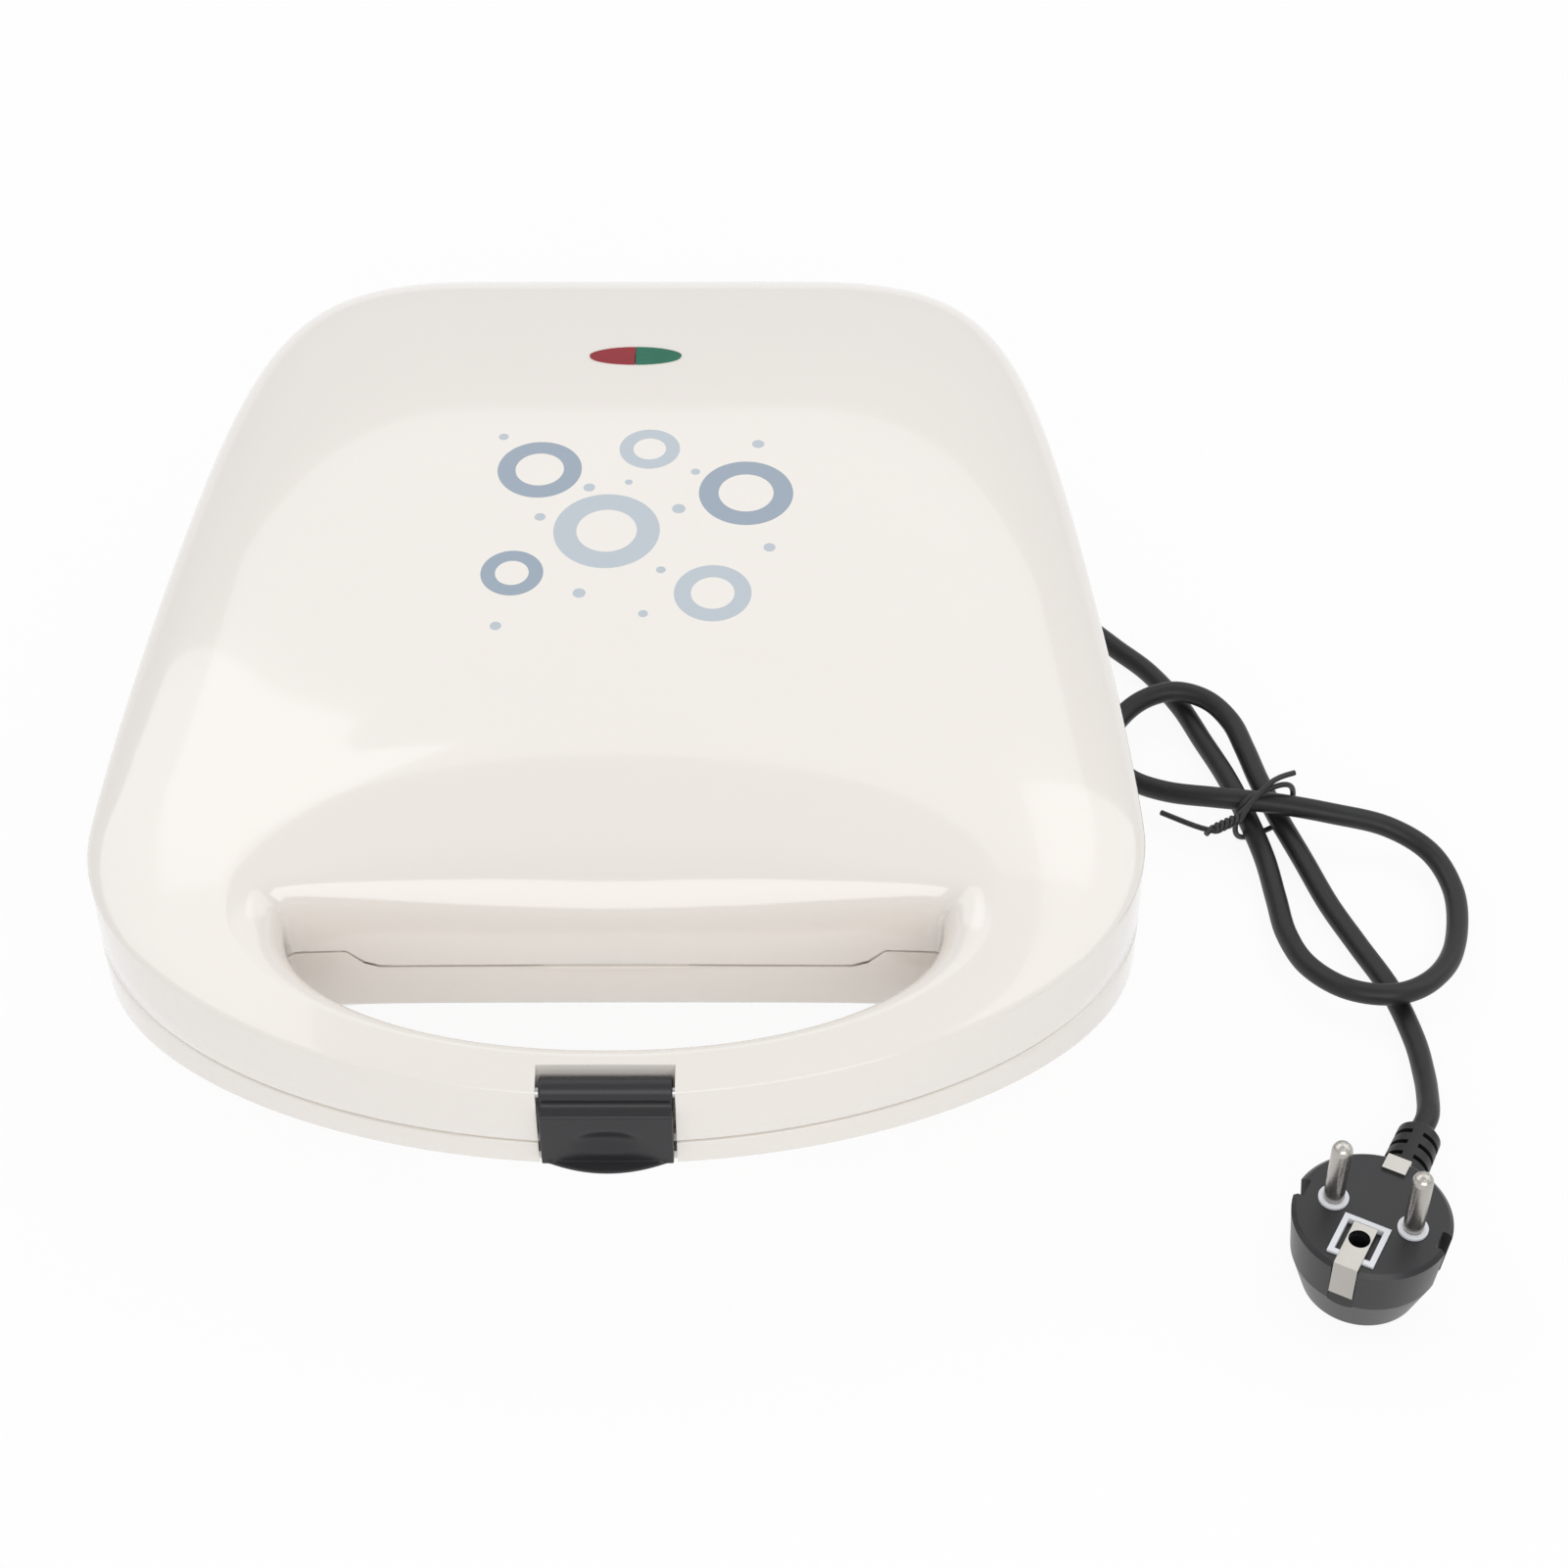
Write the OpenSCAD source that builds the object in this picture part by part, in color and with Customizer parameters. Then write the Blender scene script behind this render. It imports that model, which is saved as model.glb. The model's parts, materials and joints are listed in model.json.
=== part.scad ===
// Seven-ring donut maker: two hinged shells round a handle hole, cast plates, heaters, latch, cord and plug.
// Millimetres. +X is right seen from the front, the latch faces -Y, +Z is up, and the feet stand on z = 0.
// Inside the modules y runs from the front of the lid; place() moves each piece to the part's own origin.

/* [Body] */
// Width of the shells at their widest
body_w = 250; // [242:0.5:260]
// Length of the shells, front to back
body_l = 291; // [286:0.5:302]
// Width of the shells at their rear corners
rear_w = 204; // [199:0.5:211]
// Distance from the front to the widest place
widest_y = 78.5; // [75:0.5:82]
// How far the rear edge is drawn in at its corners
rear_bow = 8.5; // [4:0.5:10]
// Straight part of the rear edge, where the hinges sit
rear_flat = 98; // [94:0.5:102]
// Height of the joint line between lid and base
parting_z = 44.5; // [43:0.1:47]
// Gap between lid and base at the joint line
parting_gap = 0.6; // [0.4:0.1:0.8]
// Wall of both shells
wall = 2.5; // [2.2:0.1:2.8]
// Width of the flat rim that closes each wall at the joint line
rim_w = 7.5; // [6:0.1:8]

/* [Lid] */
// Height of the lid's wall above the joint line at the front
lid_wall_front = 16.5; // [15.5:0.1:17.5]
// Height of the lid's wall above the joint line at the rear
lid_wall_rear = 28; // [26:0.1:30]
// Height of the lid's crown above the joint line at the front
lid_crown_front = 20.7; // [20:0.1:22]
// Height of the lid's crown above the joint line at the rear
lid_crown_rear = 46.6; // [45:0.1:49]

/* [Base] */
// Depth of the base's wall under the joint line at the front
base_wall_front = 6.2; // [5.8:0.1:6.8]
// Depth of the base's wall under the joint line at the rear
base_wall_rear = 31; // [29:0.1:32]
// Depth of the handle bar under the joint line
base_bar_depth = 12.4; // [11.5:0.1:13.5]

/* [Handle hole] */
// Half width of the handle hole
hole_half_w = 76.5; // [73:0.5:80]
// Front edge of the handle hole, from the front of the lid
hole_front_y = 13; // [12.5:0.1:14.5]
// Widest place of the handle hole
hole_mid_y = 52; // [50:0.5:54]
// Depth of the square rear end of the handle hole
hole_rear_d = 4.7; // [4:0.1:6]
// Width of the rolled edge beside the hole
scoop_side = 12.4; // [11.5:0.1:13.5]
// Width of the rolled edge at the bar
scoop_front = 3.7; // [3.4:0.1:4.2]
// Width of the sloping scoop behind the hole
scoop_rear = 44; // [40:0.5:48]

/* [Plates] */
// Thickness of the flat of each cooking plate
plate_t = 4; // [3.5:0.1:5]
// Gap between the two cooking plates
plate_gap = 1; // [0.8:0.1:1.4]
// Clearance between a plate and the shell's rim
plate_clear = 0.6; // [0.4:0.1:1]
// Front edge of the plates
plate_front_y = 67.5; // [66:0.5:69]
// Distance of the middle ring behind the middle of the plates
ring_y = -1.2; // [-2.2:0.1:0.8]
// Distance between the centres of neighbouring rings
ring_pitch = 65; // [64:0.5:67]
// Radius of the circle through the middle of a ring
ring_r = 17.5; // [17:0.1:18]
// Radius of a ring's section
ring_section_r = 11.5; // [11:0.1:12]
// Metal left around a ring
ring_metal = 2.8; // [2.4:0.1:2.9]

/* [Heaters] */
// Diameter of the heating tube
heater_d = 6.5; // [6:0.1:7]
// Radius of the heater's loop
heater_r = 60; // [58:0.5:62]
// Gap between a heater and the plate's rings
heater_gap = 0.3; // [0.2:0.05:0.5]
// Thickness of the heat reflector
reflector_t = 0.8; // [0.6:0.1:1]
// Width of the heat reflector
reflector_w = 176; // [174:1:184]
// Length of the heat reflector
reflector_l = 176; // [174:1:178]
// Height of the lower heat reflector above the floor
reflector_z = 17.5; // [17:0.1:18]

/* [Hinge] */
// Distance of the hinge axis behind the rear wall
hinge_back = 6.5; // [6.2:0.1:7]
// Distance of each hinge from the middle
hinge_x = 32; // [31:0.5:34]
// Width of each hinge
hinge_w = 24; // [22:0.5:26]
// Radius of the hinge knuckles
knuckle_r = 5.5; // [5:0.1:5.8]
// Diameter of the hinge pins
hinge_pin_d = 4; // [3.6:0.1:4.4]

/* [Latch] */
// Width of the latch
latch_w = 29.6; // [27:0.1:31]
// Gap beside the latch
latch_gap = 0.7; // [0.5:0.1:0.9]
// Height of the latch's pin above the joint line
latch_pin_h = 13.9; // [13.5:0.1:14.3]
// Distance of the latch's pin behind the front
latch_pin_y = 4; // [3.8:0.1:4.2]
// Diameter of the latch's pin
latch_pin_d = 2.4; // [2:0.1:2.6]
// Radius of the latch's barrel
latch_r = 2.9; // [2.8:0.05:3]
// Thickness of the latch's face plate
latch_t = 3; // [2.8:0.1:3.1]
// Depth of the latch below the joint line
latch_drop = 5; // [4.8:0.1:5.2]

/* [Lamps] */
// Length of the lamp window
lens_l = 24.4; // [23:0.1:27]
// Width of the lamp window
lens_w = 7.9; // [7:0.1:8.6]
// Distance of the lamp window from the front
lens_y = 236; // [234:0.5:238]

/* [Feet] */
// Height of the feet
foot_h = 5; // [4.8:0.1:5.4]
// Diameter of the feet
foot_d = 17; // [15:0.5:19]

/* [Cord] */
// Diameter of the mains cord
cord_d = 5.6; // [5.2:0.1:6]
// Distance of the cord's exit from the middle
gland_x = 60; // [58:0.5:62]
// Depth of the cord's exit below the joint line
gland_drop = 22.5; // [21.5:0.5:23]
// Length of the strain relief behind the shell
relief_l = 26; // [24:1:30]

/* [Plug] */
// Diameter of the plug's body
plug_d = 36.6; // [36:0.1:37.4]
// Height of the plug's face
plug_h = 25; // [24:0.5:26]
// Direction of the plug's row of pins
plug_turn = -28; // [-32:1:-24]

/* [Hidden] */
// Pins of the standard plug: diameter, length and distance.
pin_d = 4.8;
pin_l = 19;
pin_pitch = 19;
$fn = 48;
eps = 0.01;
fit = 0.05;
slip = 0.3;
TURN_STEPS = 80;
DOME_ROWS = 9;
ROLL_ROWS = 5;
INNER_ROWS = 5;
taper_power = 1.39;
corner_power = 8.5;
hole_power = 6;
crown_run = 1.2;
lid_power = 4;
base_power = 10;
roll_rise = 1.3;
body_mid_y = 145;
dome_mid_y = 0.55 * body_l;
hole_centre_y = 34.2;
latch_proud = 4.4;
hinge_y = body_l + hinge_back;
rear_proud = hinge_back + knuckle_r;
front_y = -(body_l + rear_proud - latch_proud) / 2;
flange = rim_w + plate_clear;
ring_mid_y = (plate_front_y + body_l - flange) / 2 + ring_y;
lid_z0 = parting_z + parting_gap / 2;
base_z0 = parting_z - parting_gap / 2;
floor_z = foot_h + wall;
plate_top = parting_z - plate_gap / 2;
ring_out = ring_section_r + ring_metal;
ring_bottom = plate_top - ring_out;
heater_z = ring_bottom - heater_gap - heater_d / 2;
plate_boss_h = 8.5;
plate_boss_r = 4;
shell_boss_r = 4.5;
screw_r = 1.2;
screw_bore_r = screw_r + fit;
head_r = 3;
head_h = 2.2;
stem_r = 2.4;
stem_h = 5;
plate_back = plate_top - plate_t;
boss_end = plate_back - plate_boss_h;
boss_front_x = 80;
boss_rear_x = 72;
boss_front = 56;
boss_rear = 58;
post_x = 62;
post_front = 68;
post_rear = 80;
thermostat_in = 33;
thermostat_back = 26.5;
bar_ease_y = 15;
bar_ease_l = 75;
hinge_screw_seat = 10;
RINGS = [for (row = [-1, 0, 1]) for (i = row == 0 ? [-1:1] : [-0.5, 0.5])
    [i * ring_pitch, ring_mid_y + row * ring_pitch * sin(60)]];
BOSSES = [for (s = [-1, 1]) each [[s * boss_front_x, ring_mid_y - boss_front],
    [s * boss_rear_x, ring_mid_y + boss_rear]]];
POSTS = [for (s = [-1, 1]) each [[s * post_x, ring_mid_y - post_front],
    [s * post_x, ring_mid_y + post_rear]]];
HINGES = [-hinge_x, hinge_x];
screw_reach = 6;
cutter = 40;
fuse_l = 14;
fuse_wire_l = 40;
lamp_holder_w = 34;
lamp_holder_l = 14;
lamp_holder_h = 8.3;
terminal_w = 36;
terminal_l = 12;
terminal_h = 9;
terminal_pitch = 12;
terminal_back = 53;
clamp_back = 13.5;
clamp_l = 6.5;
lens_split = 0.1;
recess_half = latch_w / 2 + latch_gap;
recess_back = latch_pin_y + latch_r + slip;
latch_pin_z = parting_z + latch_pin_h;
latch_face_y = -1.4;
latch_z0 = parting_z - latch_drop;
lip_d = latch_proud + latch_face_y;
lip_r = 25;
catch_back = 3.5;
catch_d = 1;
catch_w = 16;
ear_w = 7;
bracket_t = 2.7;
bracket_h = 14;
hinge_screw_dx = 7;
hinge_screw_h = 14;
heater_gap_a = 25;
gland_z = parting_z - gland_drop;
gland_r = 5.2;
gland_inner_y = body_l - wall - 3;
tail_start = body_l - 22;
lens_z = lid_top([0, lens_y]);
PLUG_AT = [172.8, -3.4, 0];
outlet_turn = 63.5;
outlet_z = 8;
outlet_r = 5.8;
outlet_at = 20.5;
plug_relief_l = 21.5;
relief_slot_at = 9;
relief_core_r = 4.1;
contact_w = 5.6;
collar_r = 3.5;
collar_depth = 3;
collar_proud = 0.6;
pin_shoulder = 1;
pin_neck = 0.2;
frame_wall = 1.3;
strip_t = 0.8;
strip_z = 15.5;
CORD_SPANS = 78;
earth_off = 9;
frame_l = 11;
frame_w = 12;
tie_d = 1.5;
TIE_AT = [166.5, 144, 8.9];
tie_turn = -62;
tie_w = 9;
tie_h = 7.8;
// Points that the free cord follows, from the strain relief behind the base to the plug.
ROUTE = [
    [60, 317, 22], [60, 327, 21.2], [61, 338, 18], [64, 349.5, 13.4], [72.5, 357.5, 9],
    [83.5, 360.5, 5.6], [95, 357.5, 3.7], [103, 349.5, 3.1], [106.5, 338, 3.1], [109, 325.5, 3.1],
    [111.5, 312, 3.1], [113, 295, 3.1], [114, 278, 3.1], [115.5, 261, 3.1], [118, 245, 3.1],
    [123.5, 229.5, 3.1], [132.5, 217, 3.1], [141.5, 206, 3.1], [149, 192, 3.1], [154, 176.5, 3.8],
    [158.5, 161.5, 5], [162, 146.5, 5.7], [165.5, 131, 4.6], [167, 116.5, 4], [168, 103, 4.8],
    [171.5, 90, 7], [179.5, 80.5, 8.8], [190, 77.5, 9.5], [199.5, 81.5, 8.6], [207.5, 91.5, 6.6],
    [212, 105, 5], [213, 119, 5], [208.5, 131, 6.6], [198, 138, 9], [183.5, 140, 11.8],
    [169, 143.5, 12.1], [154, 146.5, 11.4], [141.5, 151.5, 8.8], [132.5, 159, 6.4], [128, 169, 5.4],
    [129.5, 179.5, 6.2], [137, 187.5, 8.4], [146.5, 190.5, 9.7], [155.5, 187.5, 9.3], [161.5, 180, 8],
    [164.5, 170, 6.8], [167, 159, 5.9], [170.5, 145.5, 5.5], [175.5, 130.5, 4.4], [180.5, 115, 3.3],
    [186, 101, 3.1], [192.3, 85, 3.1], [195.8, 68.5, 3.1], [196.3, 56.5, 4], [195.6, 47.5, 6],
    [194.2, 39.55, 8], PLUG_AT + [18.83, 37.77, outlet_z]];

module place() { translate([0, front_y, 0]) children(); }

function upper(z) = 2 * parting_z - z;

// --- Outline and surfaces of the shells ---
function clamp01(v) = min(max(v, 0), 1);
function ease(v) = let (c = clamp01(v)) c * c * (3 - 2 * c);
function unit(v) = v / norm(v);
function mix(a, b, s) = a + (b - a) * s;
function half_w(y) = body_w / 2
    - (body_w - rear_w) / 2 * pow(clamp01((y - widest_y) / (body_l - widest_y)), taper_power);
function rear_edge(x) = body_l
    - rear_bow * pow(max(0, abs(x) - rear_flat / 2) / (rear_w / 2 - rear_flat / 2), 2);
function reach(x, y) = y < widest_y
    ? norm([x / (body_w / 2), (widest_y - y) / widest_y])
    : pow(pow(abs(x) / half_w(y), corner_power)
        + pow((y - widest_y) / (rear_edge(x) - widest_y), corner_power), 1 / corner_power);
function hole_reach(x, y) = y < hole_mid_y
    ? norm([x / hole_half_w, (hole_mid_y - y) / (hole_mid_y - hole_front_y)])
    : pow(pow(abs(x) / hole_half_w, hole_power) + pow((y - hole_mid_y) / hole_rear_d, hole_power),
        1 / hole_power);
function scoop_reach(x, y) = norm([x / (hole_half_w + scoop_side), (y - hole_mid_y)
    / (y < hole_mid_y ? hole_mid_y - hole_front_y + scoop_front : hole_rear_d + scoop_rear)]);
// Point where a ray from (0, from_y) leaves the shape: 0 outline, 1 hole, 2 scoop.
function shape_reach(shape, p) = shape == 0 ? reach(p[0], p[1])
    : shape == 1 ? hole_reach(p[0], p[1]) : scoop_reach(p[0], p[1]);
function ray_end(shape, from_y, a, lo = 0, hi = 2 * body_l, steps = 20) =
    let (mid = (lo + hi) / 2, p = [mid * cos(a), from_y + mid * sin(a)])
    steps == 0 ? p
    : shape_reach(shape, p) < 1 ? ray_end(shape, from_y, a, mid, hi, steps - 1)
    : ray_end(shape, from_y, a, lo, mid, steps - 1);
function edge_share(p) = let (d = [p[0], p[1] - dome_mid_y])
    norm(d) < 1 ? 0 : min(1, norm(d) / norm(ray_end(0, dome_mid_y, atan2(d[1], d[0])) - [0, dome_mid_y]));
function dome(p, power) = sqrt(max(0, 1 - pow(edge_share(p), power)));
function lid_rim(y) = parting_z + mix(lid_wall_front, lid_wall_rear, clamp01(y / body_l));
function lid_crown(y) = parting_z
    + mix(lid_crown_front, lid_crown_rear, sin(90 * clamp01(crown_run * y / body_l)));
function lid_top(p) = mix(lid_rim(p[1]), lid_crown(p[1]), dome(p, lid_power));
function base_rim(y) = parting_z - mix(base_wall_front, base_wall_rear, clamp01(y / body_l));
function base_keel(y) = mix(parting_z - base_bar_depth, foot_h - 1, ease((y - bar_ease_y) / bar_ease_l));
function base_bottom(p) = max(foot_h, mix(base_rim(p[1]), base_keel(p[1]), dome(p, base_power)));
function roll_height(full, run) = full * (1 - exp(-roll_rise * run / full));

// The four outlines of a shell at each step around it, with the inward direction of the outer one.
TURNS = [for (i = [0:TURN_STEPS - 1]) (i + 0.5) * 360 / TURN_STEPS];
OUTER = [for (a = TURNS) ray_end(0, body_mid_y, a)];
AIM = [for (p = OUTER) atan2(p[1] - hole_centre_y, p[0])];
HOLE = [for (a = AIM) ray_end(1, hole_centre_y, a)];
SCOOP = [for (a = AIM) ray_end(2, hole_centre_y, a)];
INWARD = [for (i = [0:TURN_STEPS - 1])
    let (d = OUTER[(i + 1) % TURN_STEPS] - OUTER[(i + TURN_STEPS - 1) % TURN_STEPS]) unit([-d[1], d[0]])];
AWAY = [for (i = [0:TURN_STEPS - 1]) unit(SCOOP[i] - HOLE[i])];
function at_z(p, z) = [p[0], p[1], z];

// Closed profile of a shell at step i; up is 1 for the lid and -1 for the base.
function shell_profile(i, up) =
    let (o = OUTER[i], h = HOLE[i], e = SCOOP[i], n = INWARD[i], w = AWAY[i],
        z0 = up > 0 ? lid_z0 : base_z0,
        rim = up > 0 ? lid_rim(o[1]) : base_rim(o[1]),
        face = function (p) up > 0 ? lid_top(p) : base_bottom(p),
        ze = face(e),
        room = norm(o - h),
        lip = min(rim_w, 0.3 * room),
        run = norm(e - h),
        roll = roll_height(abs(ze - parting_z) - 6, run),
        zh = ze - up * roll,
        oi = o + n * wall,
        hi = h + w * wall)
    concat(
        [at_z(o, z0), at_z(o, rim)],
        [for (j = [1:DOME_ROWS]) let (p = mix(o, e, 1 - cos(90 * j / DOME_ROWS))) at_z(p, face(p))],
        [for (j = [1:ROLL_ROWS]) let (a = 90 * j / ROLL_ROWS)
            at_z(mix(e, h, sin(a)), zh + up * roll * cos(a))],
        [at_z(h, z0), at_z(h + w * lip, z0), at_z(h + w * lip, z0 + up * wall), at_z(hi, z0 + up * wall)],
        [for (j = [0:INNER_ROWS]) let (a = 90 * (1 - j / INNER_ROWS))
            at_z(mix(e, hi, sin(a)), zh + up * (roll - wall) * cos(a))],
        [for (j = [1:INNER_ROWS]) let (p = mix(e, oi, sin(90 * j / INNER_ROWS)))
            at_z(p, face(p) - up * wall)],
        [at_z(oi, z0 + up * wall), at_z(o + n * lip, z0 + up * wall), at_z(o + n * lip, z0)]);

module shell_skin(up) {
    rings = [for (i = [0:TURN_STEPS - 1]) shell_profile(i, up)];
    rows = len(rings[0]);
    quads = [for (i = [0:TURN_STEPS - 1]) for (j = [0:rows - 1])
        let (i2 = (i + 1) % TURN_STEPS, j2 = (j + 1) % rows,
            q = [i * rows + j, i * rows + j2, i2 * rows + j2, i2 * rows + j])
        up > 0 ? q : [q[3], q[2], q[1], q[0]]];
    polyhedron([for (r = rings) each r], quads, convexity = 8);
}

module lens_bar(z0, z1, grow) {
    translate([0, lens_y, z0]) linear_extrude(z1 - z0)
        polygon([for (a = [0:11.25:359]) [(lens_l / 2 + grow) * cos(a), (lens_w / 2 + grow) * sin(a)]]);
}

module hinge_screw_holes(up) {
    for (x = HINGES, dx = [-1, 1] * hinge_screw_dx)
        translate([x + dx, body_l - hinge_screw_seat, parting_z + up * hinge_screw_h]) rotate([-90, 0, 0])
            cylinder(r = screw_bore_r, h = cutter);
}

module latch_pocket(z0, depth, h) {
    translate([-recess_half - 2, depth, z0]) cube([2 * recess_half + 4, 2, h]);
    for (x = [-recess_half - 2, recess_half]) translate([x, 1.5, z0]) cube([2, depth, h]);
}

module shell_boss(p, z0, z1) { translate([p[0], p[1], z0]) cylinder(r = shell_boss_r, h = z1 - z0); }

module lid_shell() place() color("ivory") {
    difference() {
        union() {
            difference() {
                shell_skin(1);
                translate([-recess_half, -cutter, parting_z - 5])
                    cube([2 * recess_half, cutter + recess_back, cutter]);
            }
            latch_pocket(lid_z0, recess_back, lid_wall_front - 1);
            for (p = POSTS) shell_boss(p, upper(reflector_z), lid_top(p) - wall / 2);
        }
        for (p = POSTS) translate([p[0], p[1], upper(reflector_z) - 1])
            cylinder(r = screw_bore_r, h = lid_top(p) - wall - upper(reflector_z));
        translate([-recess_half - 3, latch_pin_y, latch_pin_z]) rotate([0, 90, 0])
            cylinder(r = latch_pin_d / 2 + fit, h = 2 * recess_half + 6);
        lens_bar(lens_z - lens_l, lens_z + lens_l, fit);
        hinge_screw_holes(1);
    }
}

module base_shell() place() color("ivory") {
    difference() {
        union() {
            difference() {
                shell_skin(-1);
                translate([-recess_half, -cutter, parting_z - 25])
                    cube([2 * recess_half, cutter + catch_back, cutter]);
            }
            latch_pocket(base_z0 - base_wall_front, catch_back, base_wall_front);
            translate([-catch_w / 2, catch_back - catch_d, base_z0 - 2.4]) cube([catch_w, catch_d + 1, 1.2]);
            for (p = POSTS) shell_boss(p, foot_h + wall / 2, reflector_z);
        }
        for (p = POSTS) {
            translate([p[0], p[1], foot_h - 1]) cylinder(r = stem_r + fit, h = stem_h + 1.5);
            translate([p[0], p[1], reflector_z - screw_reach]) cylinder(r = screw_bore_r, h = 20);
        }
        translate([gland_x, body_l - cutter / 2, gland_z]) rotate([-90, 0, 0])
            cylinder(r = gland_r + fit, h = cutter);
        hinge_screw_holes(-1);
    }
}

module feet() place() color("dimgray") {
    for (p = POSTS) translate([p[0], p[1], 0]) rotate_extrude()
        polygon([[0, 0], [foot_d / 2 - 1, 0], [foot_d / 2, 1.2], [foot_d / 2, foot_h],
            [stem_r, foot_h], [stem_r, foot_h + stem_h], [0, foot_h + stem_h]]);
}

// --- Plates, reflectors and heaters; up is 1 for the upper set and -1 for the lower ---
module level(up) {
    if (up > 0) translate([0, 0, 2 * parting_z]) mirror([0, 0, 1]) children();
    else children();
}

module screw(p, z, shaft, head_down) {
    translate([p[0], p[1], z]) mirror([0, 0, head_down ? 0 : 1]) {
        translate([0, 0, -head_h]) cylinder(r = head_r, h = head_h);
        translate([0, 0, -eps]) cylinder(r = screw_r, h = shaft);
    }
}

PLATE_EDGE = [for (j = [0:TURN_STEPS - 1])
    let (i = (j + 3 * TURN_STEPS / 4) % TURN_STEPS, p = OUTER[i] + INWARD[i] * flange)
    if (p[1] > plate_front_y + 4) p];

module plate(up) place() color("dimgray") level(up) difference() {
    union() {
        translate([0, 0, plate_back]) linear_extrude(plate_t)
            polygon(concat([[half_w(0) - flange - 4, plate_front_y]], PLATE_EDGE,
                [[-(half_w(0) - flange - 4), plate_front_y]]));
        for (c = RINGS) translate([c[0], c[1], plate_top]) ring_body(ring_out);
        for (p = BOSSES) translate([p[0], p[1], boss_end]) cylinder(r = plate_boss_r, h = plate_boss_h + 1);
    }
    for (c = RINGS) translate([c[0], c[1], plate_top]) ring_groove();
    for (p = BOSSES) translate([p[0], p[1], boss_end - 1]) cylinder(r = screw_bore_r, h = plate_boss_h);
}

// Underside of a ring: a half round section turned about the ring's centre.
module ring_body(r) {
    rotate_extrude($fn = 64) intersection() {
        translate([ring_r, 0]) circle(r);
        translate([0, -2 * r]) square([ring_r + 2 * r, 2 * r - 1]);
    }
}

module ring_groove() {
    rotate_extrude($fn = 64) translate([ring_r, 0]) circle(ring_section_r);
}

module reflector(up) place() color("silver") level(up) translate([0, 0, reflector_z]) difference() {
    linear_extrude(reflector_t) polygon(rounded_rect(reflector_w, reflector_l, 20));
    for (p = concat(BOSSES, POSTS)) translate([p[0], p[1], -1]) cylinder(r = screw_r + slip, h = 3);
}

function rounded_rect(w, l, r) = [for (q = [0:3]) for (a = [0:15:90])
    let (sx = q == 0 || q == 3 ? 1 : -1, sy = q < 2 ? 1 : -1)
    [sx * (w / 2 - r), ring_mid_y + sy * (l / 2 - r)] + r * [cos(a + 90 * q), sin(a + 90 * q)]];

module reflector_screws(up) place() color("gray") level(up)
    for (p = POSTS) screw(p, reflector_z + reflector_t, reflector_t + screw_reach - 1, false);

module plate_spacers(up) place() color("lightgray") level(up)
    for (p = BOSSES) translate([p[0], p[1], reflector_z + reflector_t]) difference() {
        cylinder(r = plate_boss_r, h = boss_end - reflector_z - reflector_t);
        translate([0, 0, -1]) cylinder(r = screw_r + slip, h = cutter);
    }

module plate_screws(up) place() color("gray") level(up)
    for (p = BOSSES) screw(p, reflector_z, boss_end - reflector_z + plate_boss_h - 2, true);

module heater(up) place() color("gray") level(up) translate([0, ring_mid_y, heater_z]) {
    rotate([0, 0, 90 + heater_gap_a]) rotate_extrude(angle = 360 - 2 * heater_gap_a, $fn = 64)
        translate([heater_r, 0]) circle(d = heater_d);
    for (s = [-1, 1]) translate([s * heater_r * sin(heater_gap_a), heater_r * cos(heater_gap_a) - 3, 0]) {
        rotate([-90, 0, 0]) cylinder(r = heater_d / 2 + 0.7, h = 12);
        translate([-3.15, 10, -0.4]) cube([6.3, 10, 0.8]);
    }
}

module thermostat() place() color("white")
    translate([body_w / 2 - thermostat_in, plate_front_y + thermostat_back, plate_back - slip]) {
    translate([0, 0, -9]) cylinder(r = 8, h = 9);
    for (x = [-5, 5]) translate([x - 3.15, -0.4, -16]) cube([6.3, 0.8, 8]);
}

module thermal_fuse() place() color("lightgray")
    translate([thermostat_in - body_w / 2, plate_front_y + thermostat_back, plate_back - slip - 2.5])
    rotate([-90, 0, 0]) {
        translate([0, 0, -fuse_l / 2]) cylinder(r = 2.5, h = fuse_l);
        translate([0, 0, -fuse_wire_l / 2]) cylinder(r = 0.6, h = fuse_wire_l);
    }

// --- Where the cord enters ---
module terminal_block() place() color("white") difference() {
    translate([-terminal_w / 2, body_l - terminal_back, floor_z + slip])
        cube([terminal_w, terminal_l, terminal_h]);
    for (i = [-1:1]) translate([i * terminal_pitch, body_l - terminal_back - 1,
        floor_z + slip + terminal_h / 2]) rotate([-90, 0, 0]) cylinder(r = 1.6, h = terminal_l + 2);
}

module cord_clamp() place() color("dimgray") difference() {
    translate([gland_x - 8, body_l - clamp_back, gland_z - 9]) cube([16, clamp_l, 14]);
    translate([gland_x, tail_start, gland_z]) rotate([-90, 0, 0]) cylinder(r = cord_d / 2 + fit, h = 20);
}

module cord_tail() place() color("black")
    translate([gland_x, tail_start, gland_z]) rotate([-90, 0, 0])
        cylinder(d = cord_d, h = gland_inner_y - tail_start);

module cord_gland() place() color("black") translate([gland_x, 0, gland_z]) rotate([-90, 0, 0]) {
    translate([0, 0, gland_inner_y]) cylinder(r = gland_r, h = body_l + 1 - gland_inner_y);
    translate([0, 0, body_l + 0.8]) cylinder(r = gland_r + 2, h = 2);
    translate([0, 0, body_l + 2.5]) cylinder(r1 = gland_r, r2 = cord_d / 2 + 0.8, h = relief_l - 2.5);
}

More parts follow.
